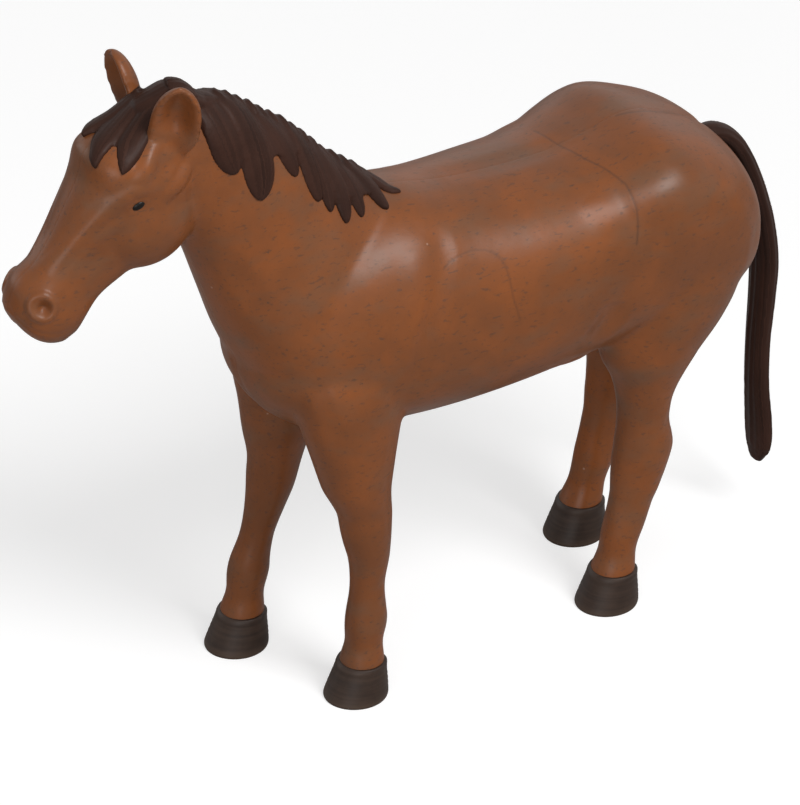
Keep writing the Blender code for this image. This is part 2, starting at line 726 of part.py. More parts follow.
# Locating pins across the middle
half = TRUNK_WIDTH / 2
places = [TRUNK_PLACE(a * TRUNK_LENGTH, 0, b * TRUNK_DEPTH) for a, b in BOSS_PLACE_SHARES]
places.append(NECK_PLACE(NECK_BOSS_SHARES[0] * NECK_LENGTH, 0, NECK_BOSS_SHARES[1] * NECK_DEPTH))
places.append(HEAD_PLACE(HEAD_BOSS_SHARES[0] * HEAD_LENGTH, 0, HEAD_BOSS_SHARES[1] * HEAD_DEPTH))
across = Vector((0, 1, 0))
bosses = [rod("boss", place - across * half, place + across * half, BOSS_RADIUS) for place in places]

# Mane pegs in the crest, and the bosses that take them
pegs = []
peg_holes = []
for share in MANE_PEG_SHARES:
    crest, normal = surface_point(NECK_PLACE(share * NECK_LENGTH, 0, NECK_DEPTH))
    upward = Vector((normal.x, 0, normal.z)).normalized()
    top = Vector((crest.x, 0, crest.z)) + upward * (MANE_THICKNESS / 2)
    foot = top - upward * MANE_PEG_DEPTH
    pegs.append(rod("peg", foot, top, MANE_PEG_RADIUS, 10))
    peg_holes.append(rod("peg hole", foot - upward * CLEARANCE, top, MANE_PEG_RADIUS + CLEARANCE, 10))
    bosses.append(rod("boss", foot - upward * WALL, top, MANE_PEG_RADIUS + CLEARANCE + WALL * 0.75))

# Hollow body, solid round the hooves' pegs, with its bosses standing in the cavity
footing = block(
    "footing",
    (CHEST_X - OVERRUN, -TRUNK_WIDTH, -OVERRUN),
    (CHEST_X + TRUNK_LENGTH + OVERRUN, TRUNK_WIDTH, HOOF_HEIGHT + HOOF_PEG_HEIGHT + CLEARANCE + WALL),
)
cavity = hollow
for boss in bosses + [socket, footing]:
    cavity = combined(cavity, boss, "DIFFERENCE")
columns = []
tab_top = BELLY_HEIGHT + BELLY_PIECE_RISE + WALL
inner = BELLY_PIECE_WIDTH / 2
for share in TAB_PLACE_SHARES:
    x = CHEST_X + share * TRUNK_LENGTH
    for side in (-1, 1):
        low = min(side * (inner - 2 * WALL), side * (inner - CLEARANCE))
        high = max(side * (inner - 2 * WALL), side * (inner - CLEARANCE))
        columns.append(block("column", (x - TAB_LENGTH / 2, low, 0), (x + TAB_LENGTH / 2, high, tab_top)))
belly_cavity = copy_of(cavity, "belly cavity")
for column in columns:
    belly_cavity = combined(belly_cavity, column, "DIFFERENCE")


def belly_region(name, grow):
    """The space of the belly piece: under the trunk, and the inner half of each leg."""
    front = CHEST_X + BELLY_PIECE_SHARES[0] * TRUNK_LENGTH - grow
    back = CHEST_X + BELLY_PIECE_SHARES[1] * TRUNK_LENGTH + grow
    low = BELLY_HEIGHT + grow
    high = BELLY_HEIGHT + BELLY_PIECE_RISE + grow
    ends = (CHEST_X - OVERRUN, CHEST_X + TRUNK_LENGTH + OVERRUN)
    outline = (
        (ends[0], -OVERRUN), (ends[1], -OVERRUN), (ends[1], low), (back, low),
        (back, high), (front, high), (front, low), (ends[0], low),
    )
    reach = BELLY_PIECE_WIDTH / 2 + grow
    return prism(name, outline, lambda x, z, y: Vector((x, y, z)), -reach, reach)


# The skin parts into the sides and the belly piece, and each of them is hollowed
body = combined(copy_of(skin, "body"), belly_region("region", CLEARANCE), "DIFFERENCE")
body = combined(body, cavity, "DIFFERENCE")
belly_shell = combined(copy_of(skin, "belly_shell"), belly_region("region", 0.0), "INTERSECT")
belly_shell = combined(belly_shell, belly_cavity, "DIFFERENCE")
below = block(
    "below",
    (CHEST_X - OVERRUN, -TRUNK_WIDTH, -OVERRUN),
    (CHEST_X + TRUNK_LENGTH + OVERRUN, TRUNK_WIDTH, HOOF_HEIGHT + CLEARANCE),
)
body = combined(body, copy_of(below, "cut"), "DIFFERENCE")
belly_shell = combined(belly_shell, below, "DIFFERENCE")
for leg in LEGS:
    body = combined(body, hoof_peg(leg, CLEARANCE), "DIFFERENCE")
    belly_shell = combined(belly_shell, hoof_peg(leg, CLEARANCE), "DIFFERENCE")
for share in TAB_PLACE_SHARES:
    x = CHEST_X + share * TRUNK_LENGTH
    for side in (-1, 1):
        root = side * (inner - 2 * WALL + CLEARANCE)
        low, high = min(root, side * (inner + TAB_REACH)), max(root, side * (inner + TAB_REACH))
        arm = block(
            "arm",
            (x - TAB_LENGTH / 2 + CLEARANCE, low, BELLY_HEIGHT + BELLY_PIECE_RISE - WALL / 2),
            (x + TAB_LENGTH / 2 - CLEARANCE, high, BELLY_HEIGHT + BELLY_PIECE_RISE + WALL / 2),
        )
        belly_shell = combined(belly_shell, arm, "UNION")
belly_shell.name = "belly_shell"

# Ears join the sides; nostrils and eye pockets are sunk in them
for ear in EAR_SIDE_SHARES:
    body = combined(body, ear_form("ear", ear), "UNION")
for side in (-1, 1):
    along, out, across_share = NOSTRIL_PLACE_SHARES
    spot = HEAD_PLACE(along * HEAD_LENGTH, side * out * HEAD_WIDTH, across_share * HEAD_DEPTH)
    point, normal = surface_point(spot)
    body = combined(body, ball("nostril", point, NOSTRIL_RADIUS), "DIFFERENCE")
    body = combined(body, eye_form("pocket", side, CLEARANCE), "DIFFERENCE")
body = combined(body, plug_hole, "DIFFERENCE")
for hole in peg_holes:
    body = combined(body, hole, "DIFFERENCE")

# The two sides part on the middle plane; pins stand on the right one
shells = {}
for name, side in (("left_body_shell", -1), ("right_body_shell", 1)):
    far = (-(TRUNK_LENGTH + HEAD_LENGTH), TRUNK_LENGTH * 2)
    near_y, far_y = side * CLEARANCE / 2, side * TRUNK_WIDTH
    half_space = block(
        "half",
        (far[0], min(near_y, far_y), -OVERRUN),
        (far[1], max(near_y, far_y), BELLY_HEIGHT * 3),
    )
    shell = combined(copy_of(body, name), half_space, "INTERSECT")
    shell.name = name
    shells[name] = shell
for place in places:
    start = place + across * PIN_REACH
    hole = rod("hole", start, place - across * (PIN_REACH + CLEARANCE), PIN_RADIUS + CLEARANCE)
    shells["left_body_shell"] = combined(shells["left_body_shell"], hole, "DIFFERENCE")
    pin = rod("pin", place + across * WALL, place - across * PIN_REACH, PIN_RADIUS)
    shells["right_body_shell"] = combined(shells["right_body_shell"], pin, "UNION")
drop(body)

# Mane: a swollen piece of skin inside the outline of its locks
thick_skin = swollen(skin, "thick skin", MANE_THICKNESS)
brow_skin = swollen(skin, "brow skin", FORELOCK_THICKNESS)


def neck_outline(s, h, y):
    """A point over the neck from two shares and a distance from the middle."""
    return NECK_PLACE(s * NECK_LENGTH, y, h * NECK_DEPTH)


def brow_outline(s, w, depth):
    """A point over the brow from two shares and a depth in front of it."""
    return HEAD_PLACE(s * HEAD_LENGTH, w * HEAD_WIDTH, depth)


far_locks = []
first_share = MANE_FRONT_SHARES[0][0]
lock_share = (MANE_END_SHARES[0][0] - first_share) / MANE_FAR_COUNT
for i in range(MANE_FAR_COUNT):
    sag = MANE_FAR_SHARES[1] * math.sin(math.pi * (i + 1) / (MANE_FAR_COUNT + 1))
    tip = (first_share + (i + 1 / 2) * lock_share, MANE_FAR_SHARES[0] - sag)
    far_locks.append((tip, (tip[0] + lock_share / 2, tip[1] + MANE_FAR_SHARES[2])))
near_outline = lock_outline(MANE_FRONT_SHARES, MANE_LOCK_SHARES, MANE_END_SHARES)
far_front = (MANE_FRONT_SHARES[0], (first_share, MANE_FAR_FRONT_SHARE))
far_outline = lock_outline(far_front, far_locks, MANE_END_SHARES)
over_neck = combined(
    prism("mane", near_outline, neck_outline, -TRUNK_WIDTH, 0.0),
    prism("far side", far_outline, neck_outline, -CLEARANCE, TRUNK_WIDTH),
    "UNION",
)
over_brow = prism("brow", FORELOCK_SHARES, brow_outline, -HEAD_DEPTH / 4, HEAD_DEPTH)
mane = combined(over_neck, thick_skin, "INTERSECT")
mane = combined(mane, combined(over_brow, brow_skin, "INTERSECT"), "UNION")
mane = combined(mane, clear_skin, "DIFFERENCE")
for ear in EAR_SIDE_SHARES:
    mane = combined(mane, ear_form("ear", ear, CLEARANCE), "DIFFERENCE")
for peg in pegs:
    mane = combined(mane, peg, "UNION")
mane.name = "mane"

# Small pieces
eyes = [eye_form("left_eye", -1), eye_form("right_eye", 1)]
hooves = [hoof(leg) for leg in LEGS]
drop(skin)

# Finishes, and the middle of the figure over the origin
finishes = [(shells["left_body_shell"], BROWN), (shells["right_body_shell"], BROWN), (belly_shell, BROWN)]
finishes += [(mane, DARK), (tail, DARK)]
finishes += [(eye, BLACK) for eye in eyes]
finishes += [(foot, DARK) for foot in hooves]
lows = [min(vertex.co.x for vertex in thing.data.vertices) for thing, finish in finishes]
highs = [max(vertex.co.x for vertex in thing.data.vertices) for thing, finish in finishes]
middle_x = (min(lows) + max(highs)) / 2
for thing, finish in finishes:
    largest_body(thing)
    thing.data.transform(Matrix.Translation((-middle_x, 0, 0)))
    thing.data.materials.clear()
    thing.data.materials.append(finish)
    thing.data.shade_smooth()
    thing.data.set_sharp_from_angle(angle=SHARP_ANGLE)
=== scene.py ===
# %% [markdown]
# # A toy horse in moulded plastic
# A farm animal figure, about 19 cm long, moulded in a marbled brown plastic. Two sides and
# a belly piece make the body, and each of them is a shell. The mane, the tail, the hooves
# and the eyes are small pieces of their own, pressed or glued into the body. The packed
# frame gives every piece its place and its size, so nothing here has to be fitted by eye.

import bpy
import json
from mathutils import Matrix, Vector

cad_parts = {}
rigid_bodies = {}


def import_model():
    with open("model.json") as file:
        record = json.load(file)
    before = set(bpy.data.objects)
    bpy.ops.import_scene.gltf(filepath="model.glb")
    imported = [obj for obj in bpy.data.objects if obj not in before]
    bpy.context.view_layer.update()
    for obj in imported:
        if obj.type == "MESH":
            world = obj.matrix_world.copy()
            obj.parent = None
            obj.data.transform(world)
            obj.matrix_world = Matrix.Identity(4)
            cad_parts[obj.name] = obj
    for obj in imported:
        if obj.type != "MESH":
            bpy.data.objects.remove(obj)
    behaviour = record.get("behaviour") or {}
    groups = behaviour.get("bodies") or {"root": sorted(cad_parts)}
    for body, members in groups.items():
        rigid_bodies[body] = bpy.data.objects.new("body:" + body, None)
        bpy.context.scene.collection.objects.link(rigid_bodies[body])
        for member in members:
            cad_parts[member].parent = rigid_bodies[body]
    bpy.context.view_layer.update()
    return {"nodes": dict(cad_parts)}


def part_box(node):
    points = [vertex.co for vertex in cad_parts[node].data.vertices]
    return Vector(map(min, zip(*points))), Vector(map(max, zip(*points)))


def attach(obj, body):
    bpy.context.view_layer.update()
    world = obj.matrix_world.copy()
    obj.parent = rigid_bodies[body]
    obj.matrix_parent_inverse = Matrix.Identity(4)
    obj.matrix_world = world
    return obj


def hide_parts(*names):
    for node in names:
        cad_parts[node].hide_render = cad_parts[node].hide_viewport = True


for thing in list(bpy.data.objects):
    bpy.data.objects.remove(thing, do_unlink=True)
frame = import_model()
print("packed nodes:", ", ".join(sorted(frame["nodes"])))

# %% Bring in the tools
import json
import math

import bmesh
import numpy as np
from mathutils import Matrix, Vector
from mathutils.bvhtree import BVHTree
from mathutils.kdtree import KDTree

MM = 0.001

# %% [markdown]
# ## The sculptor's sizes
# A figure like this is sculpted once, scanned, and cut into a mould. The sculpt could be
# pushed out of one ball of clay by hand, but a horse is easier to get right from measured
# sections: the trunk, the neck, the head and each leg is a row of ovals. The rows below are
# shares of the form's own length, depth and width, the same ones that the solid was built
# from, so that the fine skin and the plain solid agree.

# %% Sizes of the main forms
TRUNK_LENGTH, TRUNK_DEPTH, TRUNK_WIDTH = 0.1230, 0.0530, 0.0500
NECK_LENGTH, NECK_DEPTH, NECK_WIDTH = 0.0600, 0.0340, 0.0250
HEAD_LENGTH, HEAD_DEPTH, HEAD_WIDTH = 0.0560, 0.0240, 0.0204
BELLY_HEIGHT = 0.0620
NECK_PITCH = math.radians(-45)
HEAD_PITCH = math.radians(55)
JAW_RADIUS = 0.0124
EAR_LENGTH, EAR_WIDTH, EAR_DEPTH = 0.0172, 0.0104, 0.0040
CANNON_THICKNESS = 0.0078
FORE_STANCE, HIND_STANCE, STEP_LENGTH = 0.0290, 0.0260, 0.0100
HOOF_HEIGHT, HOOF_LENGTH, HOOF_WIDTH, HOOF_LEAN = 0.0085, 0.0142, 0.0130, 0.10
TAIL_DROP, TAIL_REACH, TAIL_WIDTH, TAIL_THICKNESS = 0.0880, 0.0170, 0.0095, 0.0050
BELLY_PIECE_WIDTH, BELLY_PIECE_RISE = 0.0270, 0.0120
print(f"trunk {TRUNK_LENGTH / MM:.0f} mm, neck {NECK_LENGTH / MM:.0f} mm, head {HEAD_LENGTH / MM:.0f} mm")

# %% Sections of the trunk, the neck and the head
# Columns: along, top, bottom, half width, egg shape, squareness.
TRUNK_ROWS = (
    (0.000, 0.51, 0.34, 0.08, 0.00, 1.00),
    (0.012, 0.62, 0.26, 0.18, 0.00, 1.00),
    (0.049, 0.75, 0.14, 0.29, 0.00, 1.10),
    (0.113, 0.89, 0.045, 0.38, 0.00, 1.10),
    (0.194, 0.96, 0.015, 0.43, -0.05, 1.10),
    (0.283, 0.99, 0.00, 0.46, -0.10, 1.10),
    (0.389, 0.94, 0.00, 0.48, -0.05, 1.15),
    (0.502, 0.92, 0.01, 0.50, 0.00, 1.15),
    (0.618, 0.915, 0.04, 0.49, 0.03, 1.25),
    (0.700, 0.945, 0.07, 0.49, 0.06, 1.42),
    (0.775, 0.98, 0.08, 0.50, 0.09, 1.57),
    (0.850, 0.935, 0.08, 0.49, 0.07, 1.47),
    (0.915, 0.86, 0.13, 0.46, 0.04, 1.35),
    (0.960, 0.75, 0.21, 0.39, 0.00, 1.20),
    (0.990, 0.61, 0.34, 0.24, 0.00, 1.00),
    (1.000, 0.53, 0.43, 0.10, 0.00, 1.00),
)
NECK_ROWS = (
    (-0.17, 0.17, -0.24, 0.26, 0.00, 1.00),
    (0.00, 0.375, -0.29, 0.34, -0.10, 1.00),
    (0.17, 0.430, -0.38, 0.39, -0.15, 1.00),
    (0.33, 0.465, -0.50, 0.43, -0.20, 1.00),
    (0.53, 0.460, -0.66, 0.49, -0.25, 1.05),
    (0.73, 0.505, -0.81, 0.59, -0.30, 1.10),
    (0.93, 0.54, -0.90, 0.68, -0.30, 1.10),
    (1.10, 0.41, -0.82, 0.60, -0.30, 1.10),
)
HEAD_ROWS = (
    (-0.050, 0.22, -0.14, 0.18, 0.00, 1.00),
    (-0.010, 0.37, -0.255, 0.30, 0.00, 1.00),
    (0.055, 0.44, -0.305, 0.36, 0.00, 1.10),
    (0.135, 0.46, -0.30, 0.37, 0.00, 1.15),
    (0.210, 0.40, -0.33, 0.33, 0.00, 1.15),
    (0.320, 0.39, -0.47, 0.33, 0.05, 1.20),
    (0.440, 0.42, -0.57, 0.37, 0.08, 1.25),
    (0.570, 0.46, -0.60, 0.45, 0.08, 1.25),
    (0.680, 0.53, -0.58, 0.50, 0.05, 1.20),
    (0.800, 0.32, -0.46, 0.43, 0.00, 1.10),
    (0.910, 0.20, -0.29, 0.34, 0.00, 1.00),
    (1.000, 0.08, -0.10, 0.20, 0.00, 1.00),
)
print(f"sections: trunk {len(TRUNK_ROWS)}, neck {len(NECK_ROWS)}, head {len(HEAD_ROWS)}")

# %% Sections of the legs, and how each leg swings in the walk
# Columns: height, front, back, half width, distance from the middle.
FORELEG_ROWS = (
    (0.08, 0.66, 0.65, 0.66, 0.500),
    (0.14, 0.63, 0.62, 0.62, 0.500),
    (0.21, 0.53, 0.54, 0.51, 0.500),
    (0.29, 0.59, 0.62, 0.56, 0.500),
    (0.43, 0.50, 0.50, 0.46, 0.493),
    (0.55, 0.59, 0.59, 0.56, 0.490),
    (0.65, 0.74, 0.68, 0.68, 0.483),
    (0.74, 0.80, 0.77, 0.73, 0.476),
    (0.85, 1.03, 0.95, 0.87, 0.470),
    (0.98, 1.28, 1.15, 0.99, 0.468),
    (1.13, 1.55, 1.45, 1.07, 0.455),
    (1.29, 1.67, 1.67, 1.09, 0.431),
    (1.48, 1.15, 1.15, 0.77, 0.345),
)
HINDLEG_ROWS = (
    (0.08, 0.66, 0.65, 0.66, 0.500),
    (0.14, 0.63, 0.62, 0.62, 0.500),
    (0.21, 0.54, 0.55, 0.51, 0.500),
    (0.29, 0.59, 0.62, 0.55, 0.500),
    (0.40, 0.78, 0.60, 0.52, 0.500),
    (0.52, 0.98, 0.74, 0.60, 0.500),
    (0.61, 1.04, 0.78, 0.66, 0.500),
    (0.71, 0.94, 0.61, 0.66, 0.500),
    (0.81, 0.93, 0.67, 0.73, 0.500),
    (0.90, 1.09, 1.02, 0.87, 0.500),
    (1.00, 1.54, 1.50, 1.08, 0.500),
    (1.13, 2.05, 2.00, 1.33, 0.492),
    (1.29, 2.44, 2.22, 1.51, 0.481),
    (1.48, 2.31, 1.86, 1.47, 0.462),
    (1.66, 1.54, 1.10, 1.03, 0.423),
)
# Columns: height share, and the shift there as a share of the step.
FORE_LEFT_SWAY = (
    (0.0, 0.25), (0.29, 0.38), (0.55, 0.45), (0.73, 0.36), (0.85, 0.17), (1.1, 0.05), (1.7, 0.0),
)
FORE_RIGHT_SWAY = (
    (0.0, -1.0), (0.34, -0.72), (0.45, -0.52), (0.61, -0.24), (0.74, -0.14), (1.0, 0.0), (1.7, 0.0),
)
HIND_LEFT_SWAY = (
    (0.0, -1.5), (0.27, -1.2), (0.44, -0.8), (0.61, -0.6), (0.87, -0.65), (1.0, -0.6), (1.2, -0.2),
    (1.7, 0.1),
)
HIND_RIGHT_SWAY = (
    (0.0, -0.7), (0.33, -0.1), (0.5, 0.33), (0.61, 0.44), (0.71, 0.36), (0.87, 0.05), (1.0, -0.2),
    (1.7, 0.1),
)
print(f"sections: fore leg {len(FORELEG_ROWS)}, hind leg {len(HINDLEG_ROWS)}")


# %% Where the frames of the forms stand
def sway(height, rows):
    """A leg's fore and aft shift at a height share."""
    return float(np.interp(height, [row[0] for row in rows], [row[1] for row in rows])) * STEP_LENGTH


def in_frame(x, z, pitch):
    """A function that turns along, side and across into a point of a pitched frame."""
    forward = Vector((math.cos(pitch), 0, math.sin(pitch)))
    upward = Vector((-math.sin(pitch), 0, math.cos(pitch)))

    def place(along, side, across):
        return Vector((x, side, z)) + forward * along + upward * across

    return place


# Shares of the trunk and of the head that place the legs, the neck and the head.
FORE_ALONG, HIND_ALONG, NECK_AHEAD, NECK_ABOVE = 0.162, 0.826, 0.113, 1.434
HEAD_AHEAD, HEAD_BELOW = 0.59, 0.57
hoof_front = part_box("hoof_fore_left")[0][0]
FORE_X = hoof_front + (HOOF_LEAN + 0.5) * HOOF_LENGTH - sway(HOOF_HEIGHT / BELLY_HEIGHT, FORE_LEFT_SWAY)
CHEST_X = FORE_X - FORE_ALONG * TRUNK_LENGTH
HIND_X = CHEST_X + HIND_ALONG * TRUNK_LENGTH
NECK_X, NECK_Z = CHEST_X - NECK_AHEAD * TRUNK_LENGTH, BELLY_HEIGHT + NECK_ABOVE * TRUNK_DEPTH
HEAD_X, HEAD_Z = NECK_X - HEAD_AHEAD * HEAD_LENGTH, NECK_Z - HEAD_BELOW * HEAD_LENGTH
TRUNK_PLACE = in_frame(CHEST_X, BELLY_HEIGHT, 0.0)
NECK_PLACE = in_frame(NECK_X, NECK_Z, NECK_PITCH)
HEAD_PLACE = in_frame(HEAD_X, HEAD_Z, HEAD_PITCH)
print(f"fore legs at x = {FORE_X / MM:.2f} mm, hind legs at x = {HIND_X / MM:.2f} mm")


def on_head(along, sideways, up):
    """A point of the head from shares of its length, width and depth."""
    return HEAD_PLACE(along * HEAD_LENGTH, sideways * HEAD_WIDTH, up * HEAD_DEPTH)


def spot(x, y, z):
    """A landmark measured in millimetres from the ground between the fore hooves."""
    return Vector((FORE_X + x * MM, y * MM, z * MM))


def trail(*landmarks):
    """Several landmarks as rows of numbers."""
    return np.array([spot(*landmark) for landmark in landmarks])


# %% [markdown]
# ## Finishes
# The body is not painted: the brown is in the plastic. Pellets of several colours melted
# together, so the surface is marbled with orange brown and grey brown clouds, and small
# dark flecks are smeared through it. A photograph of the plastic wrapped over the model
# would show seams, so the pattern is grown from noise in the object's own coordinates,
# which has no seams and stays sharp from close by. A small class turns shader sockets into
# values that can be added and multiplied in plain Python.

# %% A class for shader sums
class Wire:
    """A shader socket that takes part in sums."""

    def __init__(self, finish, socket):
        self.finish = finish
        self.socket = socket

    def sum_with(self, operation, first, second):
        """A Math node on two values."""
        return self.finish.node("ShaderNodeMath", {"operation": operation}, {0: first, 1: second})

    def __add__(self, other):
        return self.sum_with("ADD", self, other)

    def __radd__(self, other):
        return self.sum_with("ADD", other, self)

    def __sub__(self, other):
        return self.sum_with("SUBTRACT", self, other)

    def __rsub__(self, other):
        return self.sum_with("SUBTRACT", other, self)

    def __mul__(self, other):
        return self.sum_with("MULTIPLY", self, other)

    def __rmul__(self, other):
        return self.sum_with("MULTIPLY", other, self)


class Finish:
    """A material, or the sky, whose nodes are made one call at a time."""

    def __init__(self, name, holder=None, shader="Principled BSDF"):
        self.material = holder or bpy.data.materials.new(name)
        self.material.use_nodes = True
        self.tree = self.material.node_tree
        self.shader = self.tree.nodes[shader]
        self.place = self.node("ShaderNodeTexCoord", output="Object")

    def node(self, kind, settings=(), sockets=(), output=0):
        """Any node: its type, its settings, the values or wires of its sockets."""
        made = self.tree.nodes.new(kind)
        for name, value in dict(settings).items():
            if name == "stops":
                for stop, (position, shade) in zip(made.color_ramp.elements, value):
                    stop.position = position
                    stop.color = (shade, shade, shade, 1.0)
            else:
                setattr(made, name, value)
        for key, value in dict(sockets).items():
            if isinstance(value, Wire):
                self.tree.links.new(value.socket, made.inputs[key])
            else:
                made.inputs[key].default_value = value
        return Wire(self, made.outputs[output])

    def noise(self, scale, detail=2.0, rough=0.5, place=None, twist=0.0):
        """A cloudy value from 0 to 1, at so many clouds to the metre."""
        sockets = {"Vector": place or self.place, "Scale": scale, "Detail": detail, "Roughness": rough}
        return self.node("ShaderNodeTexNoise", (), {**sockets, "Distortion": twist})

    def stretched(self, turn, scale):
        """The object's coordinates, turned and squeezed, for smeared patterns."""
        return self.node("ShaderNodeMapping", (), {"Vector": self.place, "Rotation": turn, "Scale": scale})

    def between(self, value, low, high):
        """0 below low, 1 above high, and soft between them."""
        return self.node("ShaderNodeValToRGB", {"stops": ((low, 0.0), (high, 1.0))}, {"Fac": value})

    def blend(self, factor, first, second):
        """One colour or another."""
        return self.node("ShaderNodeMix", {"data_type": "RGBA"}, {0: factor, 6: first, 7: second}, 2)

    def marks(self, name):
        """A value stored on the piece's own points."""
        return self.node("ShaderNodeAttribute", {"attribute_name": name}, output="Fac")

    def wear(self, socket, value):
        """Give one of the shader's sockets a number, a colour or a wire."""
        if isinstance(value, Wire):
            self.tree.links.new(value.socket, self.shader.inputs[socket])
        else:
            self.shader.inputs[socket].default_value = value

    def relief(self, height, depth, under=None):
        """A fine relief in the shading only, for grain too small to model."""
        sockets = {"Strength": 1.0, "Distance": depth, "Height": height}
        if under is not None:
            sockets["Normal"] = under
        return self.node("ShaderNodeBump", (), sockets)


# %% Colours
RED_BROWN, ORANGE_BROWN = (0.174, 0.058, 0.0195, 1), (0.228, 0.069, 0.0185, 1)
GREY_BROWN, FLECK_BROWN = (0.140, 0.072, 0.040, 1), (0.066, 0.040, 0.028, 1)
LINE_BROWN, PALE_DUST = (0.060, 0.030, 0.018, 1), (0.50, 0.36, 0.28, 1)
DARK_HAIR, LIGHT_HAIR = (0.025, 0.0105, 0.0070, 1), (0.050, 0.0210, 0.0140, 1)
DARK_HORN, LIGHT_HORN = (0.024, 0.014, 0.010, 1), (0.044, 0.026, 0.018, 1)
RUBBED_HORN = (0.12, 0.080, 0.055, 1)
BLACK, BROWN_BLACK = (0.004, 0.004, 0.004, 1), (0.012, 0.008, 0.006, 1)
print("body browns:", RED_BROWN[:3], ORANGE_BROWN[:3], GREY_BROWN[:3])


# %% Marbled brown plastic
def marbled_brown(name):
    """Satin plastic, orange brown and grey brown clouds, smeared dark flecks."""
    finish = Finish(name)
    clouds = finish.noise(34, 4.0, 0.6, twist=0.6)
    patches = finish.noise(120, 3.0, 0.55)
    orange = finish.between(clouds * 0.65 + patches * 0.35, 0.42, 0.62)
    drawn_out = finish.stretched((0.3, 0.9, 0.2), (1.0, 1.6, 2.0))
    grey = finish.between(finish.noise(62, 3.0, 0.6, drawn_out), 0.50, 0.72)
    cloudy = finish.blend(grey * 0.60, finish.blend(orange, RED_BROWN, ORANGE_BROWN), GREY_BROWN)
    smear = finish.noise(1.0, 2.0, 0.5, finish.stretched((0.2, 0.5, 0.1), (560, 1500, 1500)), 0.4)
    specks = finish.noise(1150, 1.5, 0.5)
    dark = finish.between(smear, 0.61, 0.70) + finish.between(specks, 0.66, 0.74) * 0.6
    flecked = finish.blend(dark * 0.50, cloudy, FLECK_BROWN)
    lined = finish.blend(finish.marks("flow_line") * 0.6, flecked, LINE_BROWN)
    dust = finish.node("ShaderNodeTexVoronoi", (), {"Vector": finish.place, "Scale": 95})
    pale = 1 - finish.between(dust, 0.020, 0.030)
    finish.wear("Base Color", finish.blend(pale * 0.35, lined, PALE_DUST))
    finish.wear("Roughness", 0.31 + patches * 0.08 + dark * 0.05)
    grain = finish.relief(finish.noise(2600, 2.0, 0.6), 0.000012)
    finish.wear("Normal", finish.relief(finish.noise(260, 2.0, 0.5), 0.00006, grain))
    finish.wear("Specular IOR Level", 0.23)
    return finish.material


# %% [markdown]
# The mane, the forelock and the tail are a softer, darker plastic with a dull skin. Each
# hair ridge is modelled, and the shader only adds streaks that follow the ridges: a value
# stored on the points says which strand of hair a point lies on, and the noise is read
# along that value.

# %% Dull dark hair plastic
def dull_hair(name):
    """Matt dark brown with streaks along the hair."""
    finish = Finish(name)
    sockets = {"W": finish.marks("across_hair"), "Scale": 1.6, "Detail": 3.0}
    streaks = finish.node("ShaderNodeTexNoise", {"noise_dimensions": "1D"}, sockets)
    clouds = finish.noise(90, 3.0, 0.6)
    tone = finish.between(streaks * 0.6 + clouds * 0.4, 0.38, 0.66)
    finish.wear("Base Color", finish.blend(tone, DARK_HAIR, LIGHT_HAIR))
    finish.wear("Roughness", 0.38 + clouds * 0.12)
    finish.wear("Specular IOR Level", 0.10)
    finish.wear("Normal", finish.relief(finish.noise(1400, 2.0, 0.6), 0.00003))
    return finish.material


# %% Horn of the hooves
def dark_horn(name):
    """Dark horn with growth rings, paler where the edge is rubbed."""
    finish = Finish(name)
    rings = finish.noise(1.0, 2.0, 0.5, finish.stretched((0, 0, 0), (60, 60, 1500)))
    clouds = finish.noise(240, 3.0, 0.6)
    tone = finish.between(rings * 0.5 + clouds * 0.5, 0.35, 0.65)
    body = finish.blend(tone, DARK_HORN, LIGHT_HORN)
    finish.wear("Base Color", finish.blend(finish.marks("rubbed") * 0.30, body, RUBBED_HORN))
    finish.wear("Roughness", 0.42 + clouds * 0.14)
    finish.wear("Specular IOR Level", 0.25)
    finish.wear("Normal", finish.relief(rings, 0.00002))
    return finish.material


# %% Black paint of the eyes
def eye_black(name):
    """Glossy black paint, a shade browner in places."""
    finish = Finish(name)
    clouds = finish.noise(1500, 2.0, 0.5)
    finish.wear("Base Color", finish.blend(clouds, BLACK, BROWN_BLACK))
    finish.wear("Roughness", 0.30 + clouds * 0.06)
    finish.wear("Specular IOR Level", 0.15)
    return finish.material


BROWN = marbled_brown("marbled_brown_plastic")
HAIR = dull_hair("dull_hair_plastic")
HORN = dark_horn("dark_horn_plastic")
EYE_BLACK = eye_black("eye_black_paint")
print("finishes:", ", ".join(finish.name for finish in (BROWN, HAIR, HORN, EYE_BLACK)))


# %% [markdown]
# ## The body skin
# The forms are lofted one by one and pushed into each other. A voxel remesh then fuses
# them into one closed skin, as a sculptor's thumb fuses balls of clay, and a little
# smoothing fills the joins. Subdivision surfaces would need a hand-made cage for every
# form, and a Boolean union would leave hard creases where a horse has none.

# %% Helpers for meshes
def new_object(name, mesh):
    """Put a mesh in the scene as an object of its own."""
    thing = bpy.data.objects.new(name, mesh)
    bpy.context.collection.objects.link(thing)
    return thing


def object_from(name, shape):
    """An object from a bmesh, which is used up."""
    mesh = bpy.data.meshes.new(name)
    shape.to_mesh(mesh)
    shape.free()
    return new_object(name, mesh)


def drop(*things):
    """Take helper objects out of the scene."""
    for thing in things:
        bpy.data.objects.remove(thing, do_unlink=True)


def applied(thing, name):
    """A new object with the mesh that the modifiers give; the old one goes."""
    depsgraph = bpy.context.evaluated_depsgraph_get()
    mesh = bpy.data.meshes.new_from_object(thing.evaluated_get(depsgraph))
    drop(thing)
    mesh.name = name
    return new_object(name, mesh)


def copy_of(thing, name):
    """An independent copy of an object and its mesh."""
    return new_object(name, thing.data.copy())


